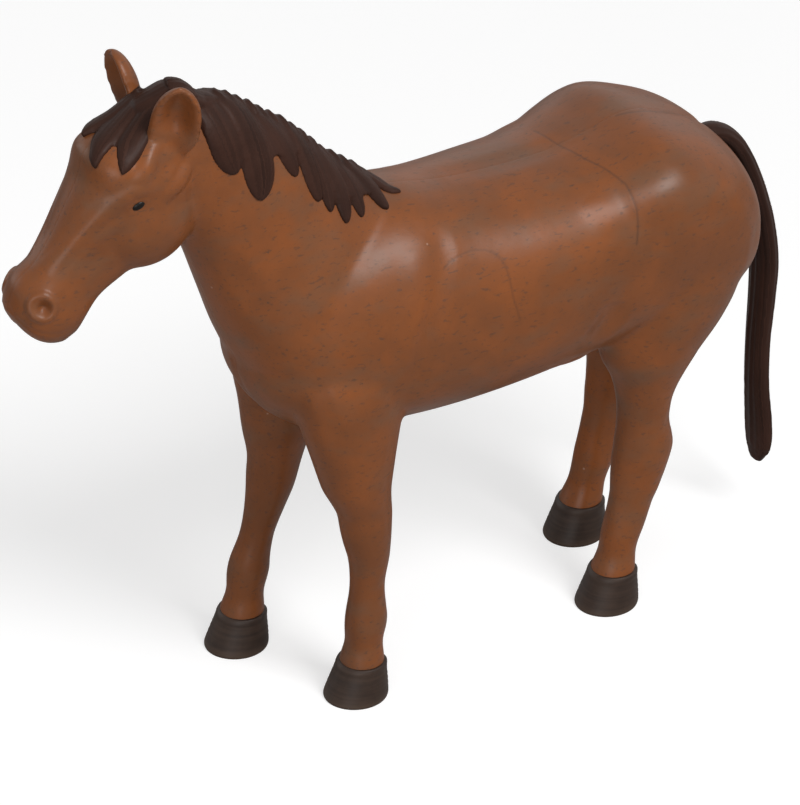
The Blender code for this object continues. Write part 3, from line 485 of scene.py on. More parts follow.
def combined(thing, tool, operation):
    """The object after one Boolean with the tool, which goes."""
    change = thing.modifiers.new("change", "BOOLEAN")
    change.operation = operation
    change.solver = "MANIFOLD"
    change.object = tool
    result = applied(thing, thing.name)
    drop(tool)
    return result


def joined(name, things):
    """Several objects gathered in one mesh; the old ones go."""
    gathered = bmesh.new()
    for thing in things:
        gathered.from_mesh(thing.data)
    drop(*things)
    return object_from(name, gathered)


def soften(thing, rounds):
    """A modifier that smooths a mesh by so many rounds."""
    ease = thing.modifiers.new("ease", "SMOOTH")
    ease.factor = 0.5
    ease.iterations = rounds
    return ease


def fused(thing, grain, rounds):
    """One closed skin over everything in the object, then eased by rounds of smoothing."""
    remesh = thing.modifiers.new("one skin", "REMESH")
    remesh.mode = "VOXEL"
    remesh.voxel_size = grain
    soften(thing, rounds)
    return applied(thing, thing.name)


def places_of(thing):
    """The points of a mesh, and its normals there."""
    count = len(thing.data.vertices)
    points, normals = np.empty(count * 3), np.empty(count * 3)
    thing.data.vertices.foreach_get("co", points)
    thing.data.vertex_normals.foreach_get("vector", normals)
    return points.reshape(-1, 3), normals.reshape(-1, 3)


def push_out(thing, distance):
    """Move a mesh's points along their normals, by one distance or by one for each."""
    points, normals = places_of(thing)
    moved = points + normals * np.reshape(distance, (-1, 1))
    thing.data.vertices.foreach_set("co", moved.astype(np.float32).ravel())
    thing.data.update()


def store(thing, name, values):
    """Store a value on each point of a mesh, for its finish to read."""
    marks = thing.data.attributes.new(name, "FLOAT", "POINT")
    marks.data.foreach_set("value", np.asarray(values, np.float32))


def tree_of(thing):
    """A mesh's surface, ready to be asked for its nearest point."""
    return BVHTree.FromObject(thing, bpy.context.evaluated_depsgraph_get())


# %% Lofts through sections
def smooth_rows(rows, steps):
    """A table's rows with steps more between each two, along a smooth curve."""
    rows = np.array(rows, float)
    last = len(rows) - 1
    fine = []
    for i in range(last):
        before, here, there, after = rows[max(i - 1, 0)], rows[i], rows[i + 1], rows[min(i + 2, last)]
        span = there[0] - here[0]
        leave = (there - before) / (there[0] - before[0]) * span
        arrive = (after - here) / (after[0] - here[0]) * span
        for k in range(steps):
            t = k / steps
            row = (2 * t**3 - 3 * t**2 + 1) * here + (t**3 - 2 * t**2 + t) * leave
            row = row + (3 * t**2 - 2 * t**3) * there + (t**3 - t**2) * arrive
            row[0] = here[0] + t * span
            fine.append(row)
    fine.append(rows[last])
    return fine


def turns(count):
    """Angles in even steps round a circle."""
    return [2 * math.pi * step / count for step in range(count)]


def rounded(angle, squareness):
    """Cosine and sine of an angle, pushed out towards a square."""
    pair = (math.cos(angle), math.sin(angle))
    return [math.copysign(abs(value) ** (1 / squareness), value) for value in pair]


def closed_loft(name, rings):
    """A closed body through rings of points, each ring with as many points."""
    shape = bmesh.new()
    made = [[shape.verts.new(point) for point in ring] for ring in rings]
    count = len(made[0])
    for near, far in zip(made, made[1:]):
        for i in range(count):
            j = (i + 1) % count
            shape.faces.new((near[i], near[j], far[j], far[i]))
    shape.faces.new(reversed(made[0]))
    shape.faces.new(made[-1])
    bmesh.ops.recalc_face_normals(shape, faces=shape.faces)
    return object_from(name, shape)


def body_form(name, place, size, rows, sides=64):
    """A trunk, neck or head."""
    length, depth, width = size
    rings = []
    for along, top, bottom, half, egg, square in smooth_rows(rows, 6):
        ring = []
        for angle in turns(sides):
            across, up = rounded(angle, square)
            height = (top + bottom) / 2 + (top - bottom) / 2 * up
            ring.append(place(along * length, half * width * across * (1 + egg * up), height * depth))
        rings.append(ring)
    return closed_loft(name, rings)


def leg_point(leg, height, section, angle):
    """A point of a leg, at a height share and an angle from straight behind."""
    name, hip_x, side, stance, rows, swing = leg
    front, back, half, out = section
    reach = (back if math.cos(angle) > 0 else front) * CANNON_THICKNESS
    x = hip_x + sway(height, swing) + reach * math.cos(angle)
    y = side * stance * out + half * CANNON_THICKNESS * math.sin(angle)
    return Vector((x, y, height * BELLY_HEIGHT))


def leg_form(leg, sides=48):
    """A leg from the coronet up into the trunk."""
    rings = []
    for height, *section in smooth_rows(leg[4], 6):
        rings.append([leg_point(leg, height, section, angle) for angle in turns(sides)])
    return closed_loft(leg[0], rings)


def ball_form(name, place, sides):
    """A round ball, placed, turned and stretched by a matrix."""
    shape = bmesh.new()
    bmesh.ops.create_uvsphere(shape, u_segments=sides, v_segments=sides // 2, radius=1)
    bmesh.ops.transform(shape, matrix=place, verts=shape.verts)
    return object_from(name, shape)


# %% Trunk, neck, head, cheeks and legs in one skin
SKIN_GRAIN = 0.60 * MM
CHEEK_ALONG, CHEEK_OUT, CHEEK_UP, CHEEK_HALF = 0.543, 0.05, -0.285, 0.48
LEGS = (
    ("fore_left", FORE_X, -1, FORE_STANCE, FORELEG_ROWS, FORE_LEFT_SWAY),
    ("fore_right", FORE_X, 1, FORE_STANCE, FORELEG_ROWS, FORE_RIGHT_SWAY),
    ("hind_left", HIND_X, -1, HIND_STANCE, HINDLEG_ROWS, HIND_LEFT_SWAY),
    ("hind_right", HIND_X, 1, HIND_STANCE, HINDLEG_ROWS, HIND_RIGHT_SWAY),
)
forms = [
    body_form("trunk", TRUNK_PLACE, (TRUNK_LENGTH, TRUNK_DEPTH, TRUNK_WIDTH), TRUNK_ROWS),
    body_form("neck", NECK_PLACE, (NECK_LENGTH, NECK_DEPTH, NECK_WIDTH), NECK_ROWS),
    body_form("head", HEAD_PLACE, (HEAD_LENGTH, HEAD_DEPTH, HEAD_WIDTH), HEAD_ROWS),
]
forms += [leg_form(leg) for leg in LEGS]
cheek_size = Matrix.Diagonal((JAW_RADIUS, CHEEK_HALF * HEAD_WIDTH, JAW_RADIUS, 1))
for side in (-1, 1):
    cheek = on_head(CHEEK_ALONG, side * CHEEK_OUT, CHEEK_UP)
    forms.append(ball_form("cheek", Matrix.Translation(cheek) @ cheek_size, sides=48))
plain_skin = fused(joined("plain_skin", forms), SKIN_GRAIN, rounds=20)
bare_skin = copy_of(plain_skin, "bare_skin")
print(f"plain skin: {len(plain_skin.data.polygons)} faces")


# %% [markdown]
# ## The ears
# Each ear is a leaf with a cupped front and a thick rolled rim. A cone with a dent would be
# quicker, but the rim catches the light all the way round, so the ear is lofted with the
# rim in its section. It is fused to the head, so that its foot blends in as moulded.

# %% Ears
# Columns: height share, half width, depth and cup depth.
EAR_ROWS = (
    (-0.12, 0.18, 0.20, 0.00),
    (0.00, 0.36, 0.36, 0.00),
    (0.22, 0.50, 0.66, 0.10),
    (0.42, 0.50, 0.90, 0.50),
    (0.60, 0.48, 0.90, 0.60),
    (0.78, 0.40, 0.78, 0.45),
    (0.92, 0.25, 0.55, 0.10),
    (1.00, 0.08, 0.25, 0.00),
)
EAR_RIM, CUP_POWER = 0.34, 5
EAR_ALONG, EAR_OUT, EAR_UP = 0.81, 0.37, -0.02
# Columns: side, length share, the way the ear points and the way its cup faces.
EARS = (
    (-1, 1.00, (-0.01, -0.28, 0.96), (-0.52, -0.84, 0.10)),
    (1, 0.90, (-0.19, 0.28, 0.95), (-0.93, 0.13, 0.10)),
)


def ear_form(side, length, axis, facing, sides=56):
    """One ear, its foot inside the head."""
    base = on_head(EAR_ALONG, side * EAR_OUT, EAR_UP)
    axis = Vector(axis).normalized()
    wide = axis.cross(Vector(facing)).normalized()
    mouth = wide.cross(axis)
    rings = []
    for height, half, depth, cup in smooth_rows(EAR_ROWS, 8):
        ring = []
        for angle in turns(sides):
            lift = math.sin(angle)
            front = depth * lift
            if lift > 0:
                rim = EAR_RIM * depth * math.sqrt(lift)
                front = rim - (cup + rim) * lift**CUP_POWER
            across = wide * (half * EAR_WIDTH * math.cos(angle)) + mouth * (front * EAR_DEPTH)
            ring.append(base + axis * (height * length * EAR_LENGTH) + across)
        rings.append(ring)
    return closed_loft("ear", rings)


skin = fused(joined("skin", [plain_skin] + [ear_form(*ear) for ear in EARS]), SKIN_GRAIN, rounds=3)
print(f"skin with ears: {len(skin.data.polygons)} faces")

# %% [markdown]
# ## Carving
# The bones and the muscles are strokes on the skin: a path, how wide the stroke is, and how
# far it lifts or sinks the surface. A stroke fades to nothing at its rim, so two strokes
# blend where they meet. The same could be painted in sculpt mode, but strokes written as
# numbers give the same horse each time, and one number can be changed later. The faces are
# first made finer where a stroke is narrow: on the head and along the thin lines.

# %% Strokes
def path_reach(points, path):
    """How far each point is from a path, and its share of the way along."""
    best, share = np.full(len(points), np.inf), np.zeros(len(points))
    steps = np.diff(path, axis=0) if len(path) > 1 else np.array([[1e-9, 0.0, 0.0]])
    lengths = np.linalg.norm(steps, axis=1)
    gone = 0.0
    for start, step, length in zip(path, steps, lengths):
        t = np.clip((points - start) @ step / length**2, 0, 1)
        away = np.linalg.norm(points - start - t[:, None] * step, axis=1)
        nearer = away < best
        best[nearer] = away[nearer]
        share[nearer] = (gone + t[nearer] * length) / lengths.sum()
        gone += length
    return best, share


def bell(reach):
    """1 in the middle, 0 from 1 outwards, round on top and soft at the rim."""
    return np.clip(1 - reach**2, 0, None) ** 2


def mirrored(points):
    """Both sides folded onto the left one."""
    return np.column_stack((points[:, 0], -np.abs(points[:, 1]), points[:, 2]))


def stroke(points, path, width, height, fade):
    """How far one stroke lifts each point; fade tapers its two ends."""
    away, share = path_reach(points, path)
    lift = height * MM * bell(away / (width * MM))
    return lift * np.sin(math.pi * np.clip(share, 0.02, 0.98)) ** 0.5 if fade else lift


def laid(tree, path):
    """A path with each of its points dropped to the nearest point of a skin."""
    return np.array([tree.find_nearest(Vector(place))[0] for place in path])


def denser(path, step=0.2):
    """A path with more points between its own."""
    steps = np.arange(0, len(path) - 0.99, step)
    return np.column_stack([np.interp(steps, range(len(path)), path[:, axis]) for axis in range(3)])


def carved(thing, strokes):
    """Lift and sink a skin by strokes that are laid on it, the same on both sides."""
    tree = tree_of(thing)
    folded = mirrored(places_of(thing)[0])
    lift = np.zeros(len(folded))
    for width, height, fade, landmarks in strokes.values():
        lift += stroke(folded, laid(tree, trail(*landmarks)), width, height, fade)
    push_out(thing, lift)
    print(f"{len(strokes)} strokes, from {lift.min() / MM:.2f} to {lift.max() / MM:.2f} mm")


def finer(thing, chosen):
    """Split the faces round the chosen points in four."""
    shape = bmesh.new()
    shape.from_mesh(thing.data)
    shape.verts.ensure_lookup_table()
    near = {shape.verts[i] for i in np.flatnonzero(chosen)}
    edges = [edge for edge in shape.edges if edge.verts[0] in near and edge.verts[1] in near]
    bmesh.ops.subdivide_edges(shape, edges=edges, cuts=1, use_grid_fill=True)
    bmesh.ops.triangulate(shape, faces=[face for face in shape.faces if len(face.verts) > 4])
    shape.to_mesh(thing.data)
    shape.free()


def eased(thing, chosen, rounds):
    """Smooth only the chosen points."""
    group = thing.vertex_groups.new(name="chosen")
    group.add([int(i) for i in np.flatnonzero(chosen)], 1.0, "REPLACE")
    soften(thing, rounds).vertex_group = "chosen"
    return applied(thing, thing.name)


# %% The fine lines that the moulding left
GATE_LINE = trail(
    (18.5, -18.8, 102.6), (20.2, -18.4, 103.6), (22.9, -18.0, 104.2), (25.9, -17.9, 104.4),
    (28.8, -18.4, 103.8), (31.1, -19.4, 102.6), (32.2, -20.9, 100.4), (32.5, -22.4, 97.4),
    (32.7, -23.4, 93.8), (34.0, -24.3, 88.3),
)
GATE_STREAK = trail((30.1, -19.1, 103.6), (31.6, -19.9, 101.6))
HIP_LINE = trail(
    (57.8, 7.9, 110.8), (58.7, -0.8, 111.6), (60.2, -8.0, 111.4), (61.9, -12.3, 110.9),
    (63.0, -15.5, 110.0), (63.9, -18.0, 108.9), (63.9, -20.0, 107.5), (64.0, -22.1, 104.9),
    (63.7, -23.5, 101.8), (62.9, -24.4, 97.5),
)
RUMP_LINE = trail(
    (72.8, -0.7, 113.6), (77.7, -1.6, 113.5), (82.9, -1.6, 112.1), (88.5, -1.2, 109.9),
    (93.0, -0.6, 106.5),
)
# Columns: path, half width in millimetres, how strong.
FLOW_LINES = (
    (GATE_LINE, 0.34, 0.6), (GATE_STREAK, 0.5, 0.5), (HIP_LINE, 0.34, 0.9), (RUMP_LINE, 0.34, 0.9),
)
FLOW_DEPTH, SEAM_DEPTH, SEAM_WIDTH = 0.020 * MM, 0.03 * MM, 0.45 * MM
HEAD_END, EAR_FOOT, FINE_REACH = spot(-30, 0, 0).x, spot(0, 0, 149).z, 1.5 * MM


def flow_paths():
    """The lines laid on the skin as it is now, with their widths and strengths."""
    tree = tree_of(skin)
    return [(laid(tree, denser(path)), width, strength) for path, width, strength in FLOW_LINES]


points = places_of(skin)[0]
fine = (points[:, 0] < HEAD_END) | (np.abs(points[:, 1]) < 2 * SEAM_WIDTH)
for path, width, strength in flow_paths():
    fine |= path_reach(points, path)[0] < FINE_REACH
finer(skin, fine)
skin = eased(skin, places_of(skin)[0][:, 0] < HEAD_END, rounds=4)
skin = eased(skin, places_of(skin)[0][:, 2] > EAR_FOOT, rounds=8)
print(f"finer skin: {len(skin.data.polygons)} faces")

# %% Bones and muscles of the head
FADES, EVEN = True, False
NOSTRIL_RING = [
    (-68.8 + 1.6 * math.cos(turn), -5.5 - 1.9 * math.cos(turn), 114.4 + 2.5 * math.sin(turn))
    for turn in turns(16) + [0.0]
]
# Each stroke: reach and lift in millimetres, how its ends are, and the landmarks of its path.
HEAD_STROKES = {
    "brow bone": (2.2, 0.32, FADES, (
        (-53, -8.6, 135.4), (-50.5, -9.6, 137.2), (-47.5, -10, 137.4), (-44.8, -9.9, 136.4),
    )),
    "eye hollow": (2.6, -0.16, EVEN, ((-48.8, -9.3, 133.6),)),
    "temple bone": (2.8, 0.95, FADES, (
        (-42.8, -6.2, 147.4), (-45.4, -8.1, 143.9), (-47.1, -9.4, 141.5), (-48.6, -10, 138.5),
    )),
    "cheek bone": (2.3, 0.75, FADES, (
        (-36, -8, 140), (-38.5, -8.9, 137.5), (-40.5, -9.5, 135.6), (-43.4, -9.8, 133.2),
    )),
    "temple hollow": (2.8, -0.45, FADES, ((-40.8, -8.6, 142.5), (-43.6, -9.7, 139.0))),
    "nose edge": (2.8, 0.60, FADES, (
        (-50, -9.7, 137.4), (-55, -8, 134), (-59.5, -6, 129), (-64, -4.3, 124), (-67.5, -3, 120.7),
    )),
    "face bone": (2.2, 0.35, FADES, ((-50.5, -9, 130.8), (-55, -7.8, 128.8), (-59.5, -6.4, 125.4))),
    "face hollow": (3.0, -0.35, FADES, ((-55, -8, 124), (-60.5, -6.8, 119.5))),
    "nostril rim": (1.35, 0.50, EVEN, NOSTRIL_RING),
    "nostril": (2.1, -1.30, EVEN, ((-68.8, -5.6, 114.3),)),
    "nostril fold": (1.6, -0.22, FADES, (
        (-66.0, -6.6, 117.4), (-64.6, -7.4, 114.0), (-66.4, -7.4, 111.2),
    )),
    "mouth": (0.85, -0.12, FADES, (
        (-73.6, 0, 113.3), (-72.9, -2.6, 111.6), (-71.2, -4.6, 109.8), (-68.5, -6, 108.4),
        (-65.5, -6.9, 107.4), (-63.2, -7, 107.6),
    )),
    "chin front": (7.0, -1.50, FADES, ((-73, 0, 112), (-71, 0, 108), (-67, 0, 105), (-64, 0, 104.5))),
    "lower lip": (2.2, 0.12, FADES, ((-72, 0, 108.6), (-70.6, -3, 107.2), (-67.5, -5, 105.6))),
    "chin crease": (1.5, -0.12, FADES, ((-62.8, 0, 104.2), (-62.4, -3, 104.8), (-62, -5.6, 106))),
    "cheek rim": (3.0, 0.15, FADES, (
        (-34.4, -9.3, 139), (-33.4, -9.4, 134), (-33.2, -9.2, 129.6), (-33.8, -8.6, 125.4),
        (-35, -7.4, 121.6),
    )),
    "cheek groove": (3.0, -0.18, FADES, (
        (-32.2, -9, 141), (-31.2, -9, 135), (-30.9, -8.8, 130), (-31.4, -8, 125.4),
        (-32.6, -6.6, 121.8),
    )),
    "cheek fill": (4.4, 0.75, FADES, ((-35.5, -8.5, 139), (-37, -9.2, 135), (-37.5, -9.5, 131))),
    "poll dip": (1.5, -0.35, EVEN, ((-41.5, -5.4, 148.4),)),
}
carved(skin, HEAD_STROKES)

# %% Muscles, hollows and creases of the body
BODY_STROKES = {
    "elbow groove": (3.6, -0.50, FADES, (
        (20.5, -12.7, 109.6), (19.6, -15.3, 107.4), (19.1, -17.5, 104.9), (18, -19.2, 102.3),
        (16.5, -20.6, 99.2), (14.9, -21.7, 95.4), (13.1, -22.3, 91.4), (11.6, -22.6, 87.3),
        (10.4, -22.2, 82), (9.6, -21.4, 77),
    )),
    "shoulder edge": (4.5, 0.45, FADES, (
        (13.5, -15, 108), (12.4, -18, 104.5), (11, -20, 99.5), (9, -21.6, 93.5), (6.6, -22.2, 87),
    )),
    "shoulder blade": (5.0, 0.35, FADES, ((-2, -12.5, 115), (-6, -15.5, 106), (-9, -17, 97.5))),
    "neck groove": (4.0, -0.35, FADES, ((-28, -8, 116), (-24, -9.5, 108), (-19, -11.5, 99))),
    "breast": (7.0, 0.30, FADES, ((-17.5, -7.5, 84), (-13, -9, 74))),
    "breast crease": (2.6, -0.30, FADES, (
        (-20.4, 0, 85), (-19.7, 0, 81.9), (-16.5, 0, 77.9), (-7.8, 0, 65.2), (-4.1, 0, 60.7),
    )),
    "forearm line": (3.0, -0.25, FADES, ((-12.5, -17, 84), (-8.4, -18.5, 76), (-5.8, -18, 66))),
    "flank hollow": (5.4, -1.25, FADES, ((53.6, -22, 75.2), (57.2, -22.9, 79.5), (58.6, -23.6, 85))),
    "flank fold": (2.4, 0.45, FADES, ((49.5, -18, 67.5), (53.4, -18.8, 67.2), (57.5, -17.6, 63.5))),
    "point of hip": (7.5, 0.45, EVEN, ((68.0, -21.2, 106.2),)),
    "loin edge": (5.0, 0.30, FADES, ((55.5, -17, 108.8), (57.5, -20.6, 105.2), (58, -22.8, 100.6))),
    "thigh": (10.0, 0.35, EVEN, ((72, -24.4, 92), (69, -24.5, 83))),
    "buttock line": (3.6, -0.35, FADES, (
        (88, -17.5, 100), (91.5, -15, 90), (90.5, -14, 80), (85, -14, 70),
    )),
    "rump groove": (3.4, -0.75, FADES, (
        (84, 0, 113), (92, 0, 108), (97, 0, 101), (100, 0, 92), (97, 0, 80),
    )),
    "back groove": (5.0, -0.35, FADES, ((30, 0, 113), (46, 0, 116), (62, 0, 119))),
}
carved(skin, BODY_STROKES)

# %% The seam's groove and the flow lines
points = places_of(skin)[0]
lift = -SEAM_DEPTH * bell(np.abs(points[:, 1]) / SEAM_WIDTH)
flow_lines = flow_paths()
for path, width, strength in flow_lines:
    lift -= FLOW_DEPTH * strength * bell(path_reach(points, path)[0] / (width * MM))
push_out(skin, lift)
print(f"{len(flow_lines)} flow lines {FLOW_DEPTH / MM:.2f} mm deep, a seam {SEAM_DEPTH / MM:.2f} mm deep")


# %% Knees, hocks, fetlocks and tendons
LEG_RELIEF, MARK_REACH = 0.45, 1.15
# Columns: height share, degrees from straight behind, reach and lift in millimetres.
FORE_MARKS = (
    (0.59, 180, 4.2, 0.35), (0.50, 180, 2.6, -0.20), (0.62, 0, 3.0, 0.25), (0.30, 0, 2.6, 0.45),
    (0.25, 180, 3.0, 0.15), (0.44, 62, 1.9, -0.28), (0.37, 62, 1.9, -0.28), (0.44, -62, 1.9, -0.28),
    (0.37, -62, 1.9, -0.28), (0.19, 0, 2.2, -0.25), (0.58, 90, 3.0, 0.20), (0.58, -90, 3.0, 0.20),
    (0.86, 150, 5.0, 0.25), (0.80, 25, 4.0, -0.25),
)
HIND_MARKS = (
    (0.66, 0, 2.4, 0.55), (0.60, 180, 4.0, 0.20), (0.72, 62, 3.2, -0.45), (0.72, -62, 3.2, -0.45),
    (0.30, 0, 2.6, 0.45), (0.48, 62, 2.2, -0.30), (0.40, 62, 2.0, -0.30), (0.48, -62, 2.2, -0.30),
    (0.40, -62, 2.0, -0.30), (0.19, 0, 2.2, -0.25), (0.57, 100, 3.0, 0.25), (0.57, -100, 3.0, 0.25),
    (0.25, 180, 3.0, 0.15), (0.95, 90, 6.0, 0.30),
)


def leg_place(leg, height, degrees):
    """Where a mark lies on a leg, as a path of one point; 90 degrees is the outer side."""
    side, rows = leg[2], leg[4]
    heights, *columns = zip(*rows)
    section = [float(np.interp(height, heights, column)) for column in columns]
    return np.array([leg_point(leg, height, section, side * math.radians(degrees))])


points = places_of(skin)[0]
lift = np.zeros(len(points))
for leg in LEGS:
    for height, degrees, reach, rise in FORE_MARKS if leg[0].startswith("fore") else HIND_MARKS:
        path = leg_place(leg, height, degrees)
        lift += stroke(points, path, reach * MARK_REACH, rise * LEG_RELIEF, EVEN)
push_out(skin, lift)
print(f"leg marks: {len(FORE_MARKS)} on each fore leg, {len(HIND_MARKS)} on each hind leg")

# %% [markdown]
# ## Eyes and lids
# Each eye is a small black lens that lies tilted in the cheek. The lids are two thin rolls
# of the cheek's own skin around it. They are carved after the eye's place is known, because
# they have to hug it.

# %% Eyes and lids
EYE_LENGTH, EYE_HEIGHT, EYE_DEPTH, EYE_TILT = 0.0030, 0.0020, 0.0008, math.radians(24)
EYE_SPOT = spot(-48.8, -9.3, 133.6)
LID_RISE, POCKET_DEPTH, LENS_SINK, LID_REACH = 0.09 * MM, 0.20 * MM, 0.30 * MM, 3.2 * MM
# The lids and the pocket, in shares of the eye's own ellipse.
LID_RING, LID_BREADTH, LOWER_LID, POCKET_RING = 1.35, 0.42, 0.7, 1.05
skin_tree = tree_of(skin)


def eye_frame(side):
    """An eye's middle, and its long, short and outward directions."""
    point, normal = skin_tree.find_nearest(Vector((EYE_SPOT[0], side * abs(EYE_SPOT[1]), EYE_SPOT[2])))[:2]
    level = Vector((math.cos(EYE_TILT), 0, math.sin(EYE_TILT)))
    level = (level - normal * level.dot(normal)).normalized()
    return point, level, normal.cross(level) * -side, normal


eyes = []
points = places_of(skin)[0]
lift = np.zeros(len(points))
for name, side in (("left_eye_lens", -1), ("right_eye_lens", 1)):
    middle, level, upright, outward = eye_frame(side)
    away = points - np.array(middle)
    long, short = away @ np.array(level) / (EYE_LENGTH / 2), away @ np.array(upright) / (EYE_HEIGHT / 2)
    ring = np.sqrt(long**2 + short**2)
    close = np.linalg.norm(away, axis=1) < LID_REACH
    lift += close * LID_RISE * bell((ring - LID_RING) / LID_BREADTH) * np.where(short > 0, 1.0, LOWER_LID)
    lift -= close * POCKET_DEPTH * bell(ring / POCKET_RING)
    turn = Matrix((level, upright, level.cross(upright))).transposed().to_4x4()
    size = Matrix.Diagonal((EYE_LENGTH / 2, EYE_HEIGHT / 2, EYE_DEPTH, 1))
    eyes.append(ball_form(name, Matrix.Translation(middle - outward * LENS_SINK) @ turn @ size, sides=40))
push_out(skin, lift)
print(f"eyes: {EYE_LENGTH / MM:.1f} by {EYE_HEIGHT / MM:.1f} mm")


# %% [markdown]
# ## Three mouldings
# The real body is two sides and a belly piece, welded together, and the joins show as
# hairlines on the chest, over the rump and low on the flank. A dark line could be painted
# there, but a cut gives a true edge that catches light from any side. Blocks as long as
# the figure cut the skin, with a gap a good deal thinner than a hair between the pieces.

# %% Cut the skin into two sides and a belly piece
SEAM_GAP, HOOF_GAP = 0.03 * MM, 0.05 * MM
REACH, BELLY_FROM, BELLY_TO, STAIN_SPREAD = 0.2, 0.113, 0.907, 1.2


def prism(name, outline, place, low, high):
    """A straight prism over an outline; place turns a corner and a depth into a point."""
    return closed_loft(name, [[place(*corner, depth) for corner in outline] for depth in (low, high)])


def sideways_on(x, z, y):
    """A point of an outline that is drawn as seen from the side."""
    return Vector((x, y, z))


def block(name, top, low, high):
    """Everything below a height, between two distances from the middle."""
    outline = ((-REACH, -REACH), (REACH, -REACH), (REACH, top), (-REACH, top))
    return prism(name, outline, sideways_on, low, high)


def belly_space(grow):
    """The space of the belly piece: under the trunk, and the inner half of each leg."""
    front, back = CHEST_X + BELLY_FROM * TRUNK_LENGTH - grow, CHEST_X + BELLY_TO * TRUNK_LENGTH + grow
    low, high = BELLY_HEIGHT + grow, BELLY_HEIGHT + BELLY_PIECE_RISE + grow
    outline = (
        (-REACH, -REACH), (REACH, -REACH), (REACH, low), (back, low),
        (back, high), (front, high), (front, low), (-REACH, low),
    )
    wide = BELLY_PIECE_WIDTH / 2 + grow
    return prism("belly space", outline, sideways_on, -wide, wide)


skin = combined(skin, block("ground", HOOF_HEIGHT + HOOF_GAP, -REACH, REACH), "DIFFERENCE")
belly_piece = combined(copy_of(skin, "belly_moulding"), belly_space(0.0), "INTERSECT")
upper = combined(copy_of(skin, "upper"), belly_space(SEAM_GAP), "DIFFERENCE")
left_space = block("left", REACH * 2, -REACH, -SEAM_GAP / 2)
right_space = block("right", REACH * 2, SEAM_GAP / 2, REACH)
left_side = combined(copy_of(upper, "left_side_moulding"), left_space, "INTERSECT")
right_side = combined(upper, right_space, "INTERSECT")
right_side.name = "right_side_moulding"
for piece in (left_side, right_side, belly_piece):
    points = places_of(piece)[0]
    line = np.zeros(len(points))
    for path, width, strength in flow_lines:
        line = np.maximum(line, strength * bell(path_reach(points, path)[0] / (width * STAIN_SPREAD * MM)))
    store(piece, "flow_line", line)
    print(piece.name, len(piece.data.polygons), "faces")

# %% [markdown]
# ## Mane and forelock
# The mane is one soft moulding that lies on the crest of the neck, with locks that hang to
# both sides. A flat cut-out would look like felt. Here every lock is a leaf with a sheaf of
# strands on it that start together on the crest and meet at the lock's tip, and Geometry
# Nodes sweep a round section along each strand, thick at the root and finer at the tip. A
# thin bed of hair under them is a piece of the skin itself, swollen outwards and cut to an
# outline. Everything is then fused in one skin, so the strands become ridges.

# %% A Geometry Nodes tree that sweeps strands along paths
def strand_tree():
    """Tubes along the edges of a mesh; the points' own thickness sets how fat each tube is."""
    tree = bpy.data.node_groups.new("hair_strands", "GeometryNodeTree")
    for name, kind, way in (
        ("Paths", "NodeSocketGeometry", "INPUT"), ("Thickness", "NodeSocketFloat", "INPUT"),
        ("Sides", "NodeSocketInt", "INPUT"), ("Finish", "NodeSocketMaterial", "INPUT"),
        ("Strands", "NodeSocketGeometry", "OUTPUT"),
    ):
        tree.interface.new_socket(name=name, in_out=way, socket_type=kind)
    given, curves, section, own, fat, sweep, real, dress, result = (
        tree.nodes.new(kind) for kind in (
            "NodeGroupInput", "GeometryNodeMeshToCurve", "GeometryNodeCurvePrimitiveCircle",
            "GeometryNodeInputNamedAttribute", "ShaderNodeMath", "GeometryNodeCurveToMesh",
            "GeometryNodeRealizeInstances", "GeometryNodeSetMaterial", "NodeGroupOutput",
        )
    )
    own.data_type = "FLOAT"
    own.inputs["Name"].default_value = "thickness"
    fat.operation = "MULTIPLY"
    sweep.inputs["Fill Caps"].default_value = True
    section.inputs["Radius"].default_value = 1.0
    for start, end in (
        (given.outputs["Paths"], curves.inputs["Mesh"]),
        (given.outputs["Sides"], section.inputs["Resolution"]),
        (own.outputs["Attribute"], fat.inputs[0]),
        (given.outputs["Thickness"], fat.inputs[1]),
        (curves.outputs["Curve"], sweep.inputs["Curve"]),
        (section.outputs["Curve"], sweep.inputs["Profile Curve"]),
        (fat.outputs[0], sweep.inputs["Scale"]),
        (sweep.outputs["Mesh"], real.inputs["Geometry"]),
        (real.outputs["Geometry"], dress.inputs["Geometry"]),
        (given.outputs["Finish"], dress.inputs["Material"]),
        (dress.outputs["Geometry"], result.inputs["Strands"]),
    ):
        tree.links.new(start, end)
    return tree


STRANDS = strand_tree()


def strands(name, paths, thickness, sides=10):
    """A mesh of tubes; each path is a row of points with a share of the thickness at each."""
    shape = bmesh.new()
    layer = shape.verts.layers.float.new("thickness")
    for path in paths:
        last = None
        for place, share in path:
            corner = shape.verts.new(place)
            corner[layer] = share
            if last is not None:
                shape.edges.new((last, corner))
            last = corner
    thing = object_from(name, shape)
    sweep = thing.modifiers.new("sweep", "NODES")
    sweep.node_group = STRANDS
    inputs = {item.name: item.identifier for item in STRANDS.interface.items_tree if item.in_out == "INPUT"}
    sweep[inputs["Thickness"]] = thickness
    sweep[inputs["Sides"]] = sides
    sweep[inputs["Finish"]] = HAIR
    return applied(thing, name)


